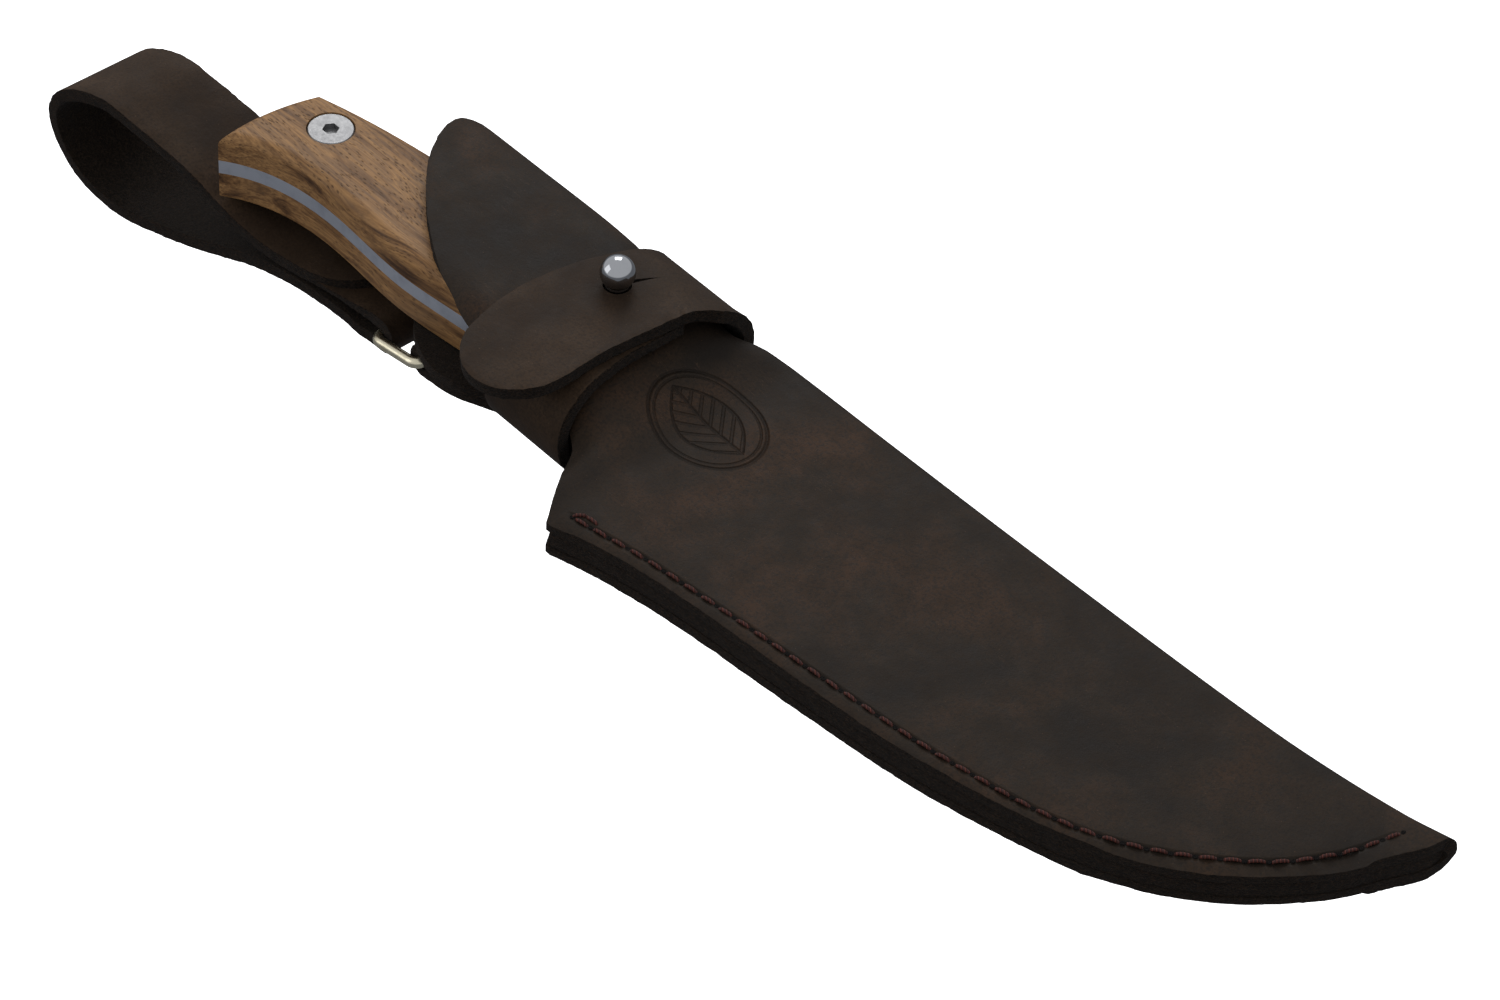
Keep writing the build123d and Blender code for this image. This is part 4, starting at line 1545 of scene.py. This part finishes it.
@dataclass
class BeltLoop:
    """Teardrop belt loop, with its rivet."""

    thickness: float = 2.8
    width: float = 22.4
    near_edge: float = -12.5
    drift: float = 0.19
    drift_from: float = -66.0
    bar: Point = (-62.22, 4.41)
    curl: float = 2.95
    rivet_at: Point = (-82.6, -3.1)
    pressed: float = 0.6
    line: tuple[Point, ...] = (
        (-70.3, 9.6), (-84, 9.9), (-93.5, 11.0), (-101, 13.6), (-107, 16.9), (-115, 21.6), (-127, 26.2),
        (-137.5, 29.1), (-147.0, 26.8), (-151.6, 21.8), (-151.2, 14.2), (-145.6, 6.0), (-136, 1.85),
        (-125, 1.9), (-113, 3.3), (-98, 6.2), (-86, 6.4), (-75, 4.4), (-68.5, 2.1),
    )

    def build(self, finishes: Finishes) -> bpy.types.Object:
        """Builds the loop, from its rounded front end round the belt's space to the ring.

        Args:
            finishes: the set's finishes.

        Returns:
            The loop.
        """
        turn = arc_points(self.bar, self.curl, -92, 88)
        tongue = [(-66.5, 7.2), (-72, 7.4), (-80, 8.1)]
        path = Path(smooth_line(tidy_outline(list(self.line) + turn + tongue, 0.3), 0.8))
        if path.at(8.0)[1][1] < 0:
            path.turn_over()
        skived = path.length - 18

        def thick(s: float, across: float) -> float:
            """The strap is pared thin where it is tucked between its own layers."""
            return self.thickness - 1.7 * ease(s, skived, path.length - 4)

        def place(s: float, across: float, depth: float) -> Vector:
            """Bends the strap along its path and lets it drift sideways."""
            point, normal = path.at(s)
            x, z = point - normal * (depth - self.thickness / 2)
            side = self.near_edge + across + self.drift * min(0.0, float(point[0]) - self.drift_from)
            return Vector((x * MM, side * MM, max(float(z), 0.15) * MM))

        radius = self.width / 2
        end = arc_points((radius, radius), radius, 270, 90, 18)
        outline = end + straight_line([(radius, self.width), (path.length, self.width), (path.length, 0),
                                       (radius, 0)], 1.6)[1:-1]
        pattern = LeatherPattern("belt_loop_strap", outline, steps(1.2, path.length, 1.8),
                                 steps(3, self.width - 2, 3.2), place, thick, 0.6, 0.25)
        piece = pattern.build(finishes.leather(finishes.strap_grain))
        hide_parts("belt_loop")
        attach(piece, "belt_loop")
        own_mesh(piece)
        return piece

    def build_rivet(self, finishes: Finishes) -> bpy.types.Object:
        """Builds the rivet with its two low domes.

        Args:
            finishes: the finishes of the whole set.

        Returns:
            The rivet.
        """
        profile = [(0.0, 2.7), (2.2, 2.8), (3.5, 3.1), (3.9, 3.5), (3.85, 3.8), (1.6, 3.9), (1.6, 11.4),
                   (3.8, 11.5), (3.9, 11.8), (3.55, 12.25), (2.4, 12.6), (1.1, 12.78), (0.0, 12.8)]
        work = bmesh.new()
        sides = 36
        rings = []
        for radius, height in profile:
            ring = []
            for k in range(sides if radius > 0 else 1):
                turn = 2 * math.pi * k / sides
                ring.append(work.verts.new(((self.rivet_at[0] + radius * math.cos(turn)) * MM,
                                            (self.rivet_at[1] + radius * math.sin(turn)) * MM, height * MM)))
            rings.append(ring)
        for low, high in zip(rings, rings[1:]):
            for k in range(sides):
                nxt = (k + 1) % sides
                corners = [low[k % len(low)], low[nxt % len(low)], high[nxt % len(high)], high[k % len(high)]]
                unique = list(dict.fromkeys(corners))
                work.faces.new(unique).smooth = True
        bmesh.ops.recalc_face_normals(work, faces=work.faces[:])
        mesh = bpy.data.meshes.new("loop_rivet_dome")
        work.to_mesh(mesh)
        work.free()
        mesh.materials.append(finishes.pale_brass)
        piece = new_object("loop_rivet_dome", mesh)
        smooth_shading(piece, 35.0)
        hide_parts("loop_rivet")
        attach(piece, "belt_loop")
        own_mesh(piece)
        return piece


# ------------------------------------------------------------------------------ knife and metal
@dataclass
class CadPieces:
    """Wood and metal pieces that keep their CAD shape and get a finish."""

    def dress(self, finishes: Finishes) -> int:
        """Gives each piece its finish.

        Args:
            finishes: the set's finishes.

        Returns:
            How many pieces were dressed.
        """
        wanted = {
            "blade": finishes.tang_steel,
            "front_scale": finishes.walnut,
            "back_scale": finishes.walnut,
            "pommel_screw": finishes.bolt_steel,
            "pommel_sleeve_nut": finishes.bolt_steel,
            "guard_screw": finishes.bolt_steel,
            "guard_sleeve_nut": finishes.bolt_steel,
            "ball_stud": finishes.chrome,
            "stud_screw": finishes.chrome,
            "tab_rivets": finishes.pale_brass,
            "hanger_ring": finishes.pale_brass,
        }
        for name, material in wanted.items():
            mesh = frame["nodes"][name].data
            mesh.materials.clear()
            mesh.materials.append(material)
        return len(wanted)


# ------------------------------------------------------------------------------ stage
@dataclass
class Studio:
    """Pale floor, soft light and the camera."""

    camera_at: Colour = (0.58447, -0.49215, 0.65606)
    look_at: Colour = (0.02361, 0.01285, 0.0)
    lens: float = 120.0
    floor_level: float = -0.15
    floor_size: float = 12.0
    dome: float = 0.62

    def build_floor(self) -> None:
        """Makes the plain pale floor."""
        mesh = bpy.data.meshes.new("studio_floor")
        half = self.floor_size / 2
        corners = [(-half, -half, self.floor_level), (half, -half, self.floor_level),
                   (half, half, self.floor_level), (-half, half, self.floor_level)]
        mesh.from_pydata(corners, [], [(0, 1, 2, 3)])
        wires = Wiring("floor_paper")
        wires.shader.inputs["Emission Color"].default_value = (1, 1, 1, 1)
        wires.finish((0.9, 0.9, 0.9), 0.9, None, Emission_Strength=1.0)
        mesh.materials.append(wires.material)
        floor = new_object("studio_floor", mesh)
        floor.visible_diffuse = False
        floor.visible_glossy = False
        floor.visible_shadow = False

    def build_world(self) -> None:
        """Makes a soft dome, bright above and dim below."""
        world = bpy.data.worlds.new("soft_dome")
        bpy.context.scene.world = world
        world.use_nodes = True
        tree = world.node_tree
        place = tree.nodes.new("ShaderNodeTexCoord")
        split = tree.nodes.new("ShaderNodeSeparateXYZ")
        ramp = tree.nodes.new("ShaderNodeValToRGB")
        tree.links.new(place.outputs["Generated"], split.inputs[0])
        tree.links.new(split.outputs["Z"], ramp.inputs["Fac"])
        row = ramp.color_ramp.elements
        row[0].position, row[0].color = 0.0, (0.26, 0.27, 0.29, 1)
        row[1].position, row[1].color = 0.12, (0.92, 0.93, 0.95, 1)
        background = tree.nodes["Background"]
        tree.links.new(ramp.outputs["Color"], background.inputs["Color"])
        background.inputs["Strength"].default_value = self.dome

    def add_light(self, name: str, at: Colour, size: float, power: float) -> None:
        """Adds one square soft light that points at the knife.

        Args:
            name: the light's name.
            at: its place.
            size: its side length.
            power: its power.
        """
        light = bpy.data.lights.new(name, "AREA")
        light.size = size
        light.energy = power
        lamp = bpy.data.objects.new(name, light)
        bpy.context.scene.collection.objects.link(lamp)
        lamp.location = at
        lamp.rotation_euler = (Vector(self.look_at) - Vector(at)).to_track_quat("-Z", "Y").to_euler()

    def build_camera(self) -> None:
        """Makes the camera that the set is framed with."""
        data = bpy.data.cameras.new("main_camera")
        data.lens = self.lens
        data.sensor_width = 36.0
        data.clip_start = 0.05
        data.clip_end = 30.0
        camera = bpy.data.objects.new("main_camera", data)
        bpy.context.scene.collection.objects.link(camera)
        camera.location = self.camera_at
        aim = Vector(self.look_at) - Vector(self.camera_at)
        camera.rotation_euler = aim.to_track_quat("-Z", "Y").to_euler()
        bpy.context.scene.camera = camera

    def build(self) -> None:
        """Makes the whole stage."""
        self.build_camera()
        self.build_floor()
        self.build_world()
        self.add_light("key_softbox", (-0.75, 0.75, 1.0), 0.7, 5.5)
        self.add_light("side_softbox", (-0.7, -0.9, 0.6), 0.8, 1.6)
        bpy.context.scene.view_settings.view_transform = "Standard"


def main() -> None:
    """Builds the set piece by piece and reports each one."""
    Studio().build()
    LOG.info("stage ready")
    finishes = Finishes()
    LOG.info("finishes ready")
    sheath = Sheath()
    LOG.info("sheath leather: %d points", len(sheath.build_shell(finishes).data.vertices))
    LOG.info("welt: %d points", len(sheath.build_welt(finishes).data.vertices))
    stitching = SeamStitching(sheath).build(finishes)
    LOG.info("stitching: %d points", len(stitching.data.vertices))
    strap = RetentionStrap(sheath)
    LOG.info("retention band: %d points", len(strap.build_band(finishes).data.vertices))
    LOG.info("button end: %d points", len(strap.build_flap(finishes).data.vertices))
    LOG.info("hanger tab: %d points", len(HangerTab().build(finishes).data.vertices))
    loop = BeltLoop()
    LOG.info("belt loop: %d points", len(loop.build(finishes).data.vertices))
    LOG.info("loop rivet: %d points", len(loop.build_rivet(finishes).data.vertices))
    LOG.info("dressed %d wood and metal pieces", CadPieces().dress(finishes))


if __name__ == "__main__":
    main()
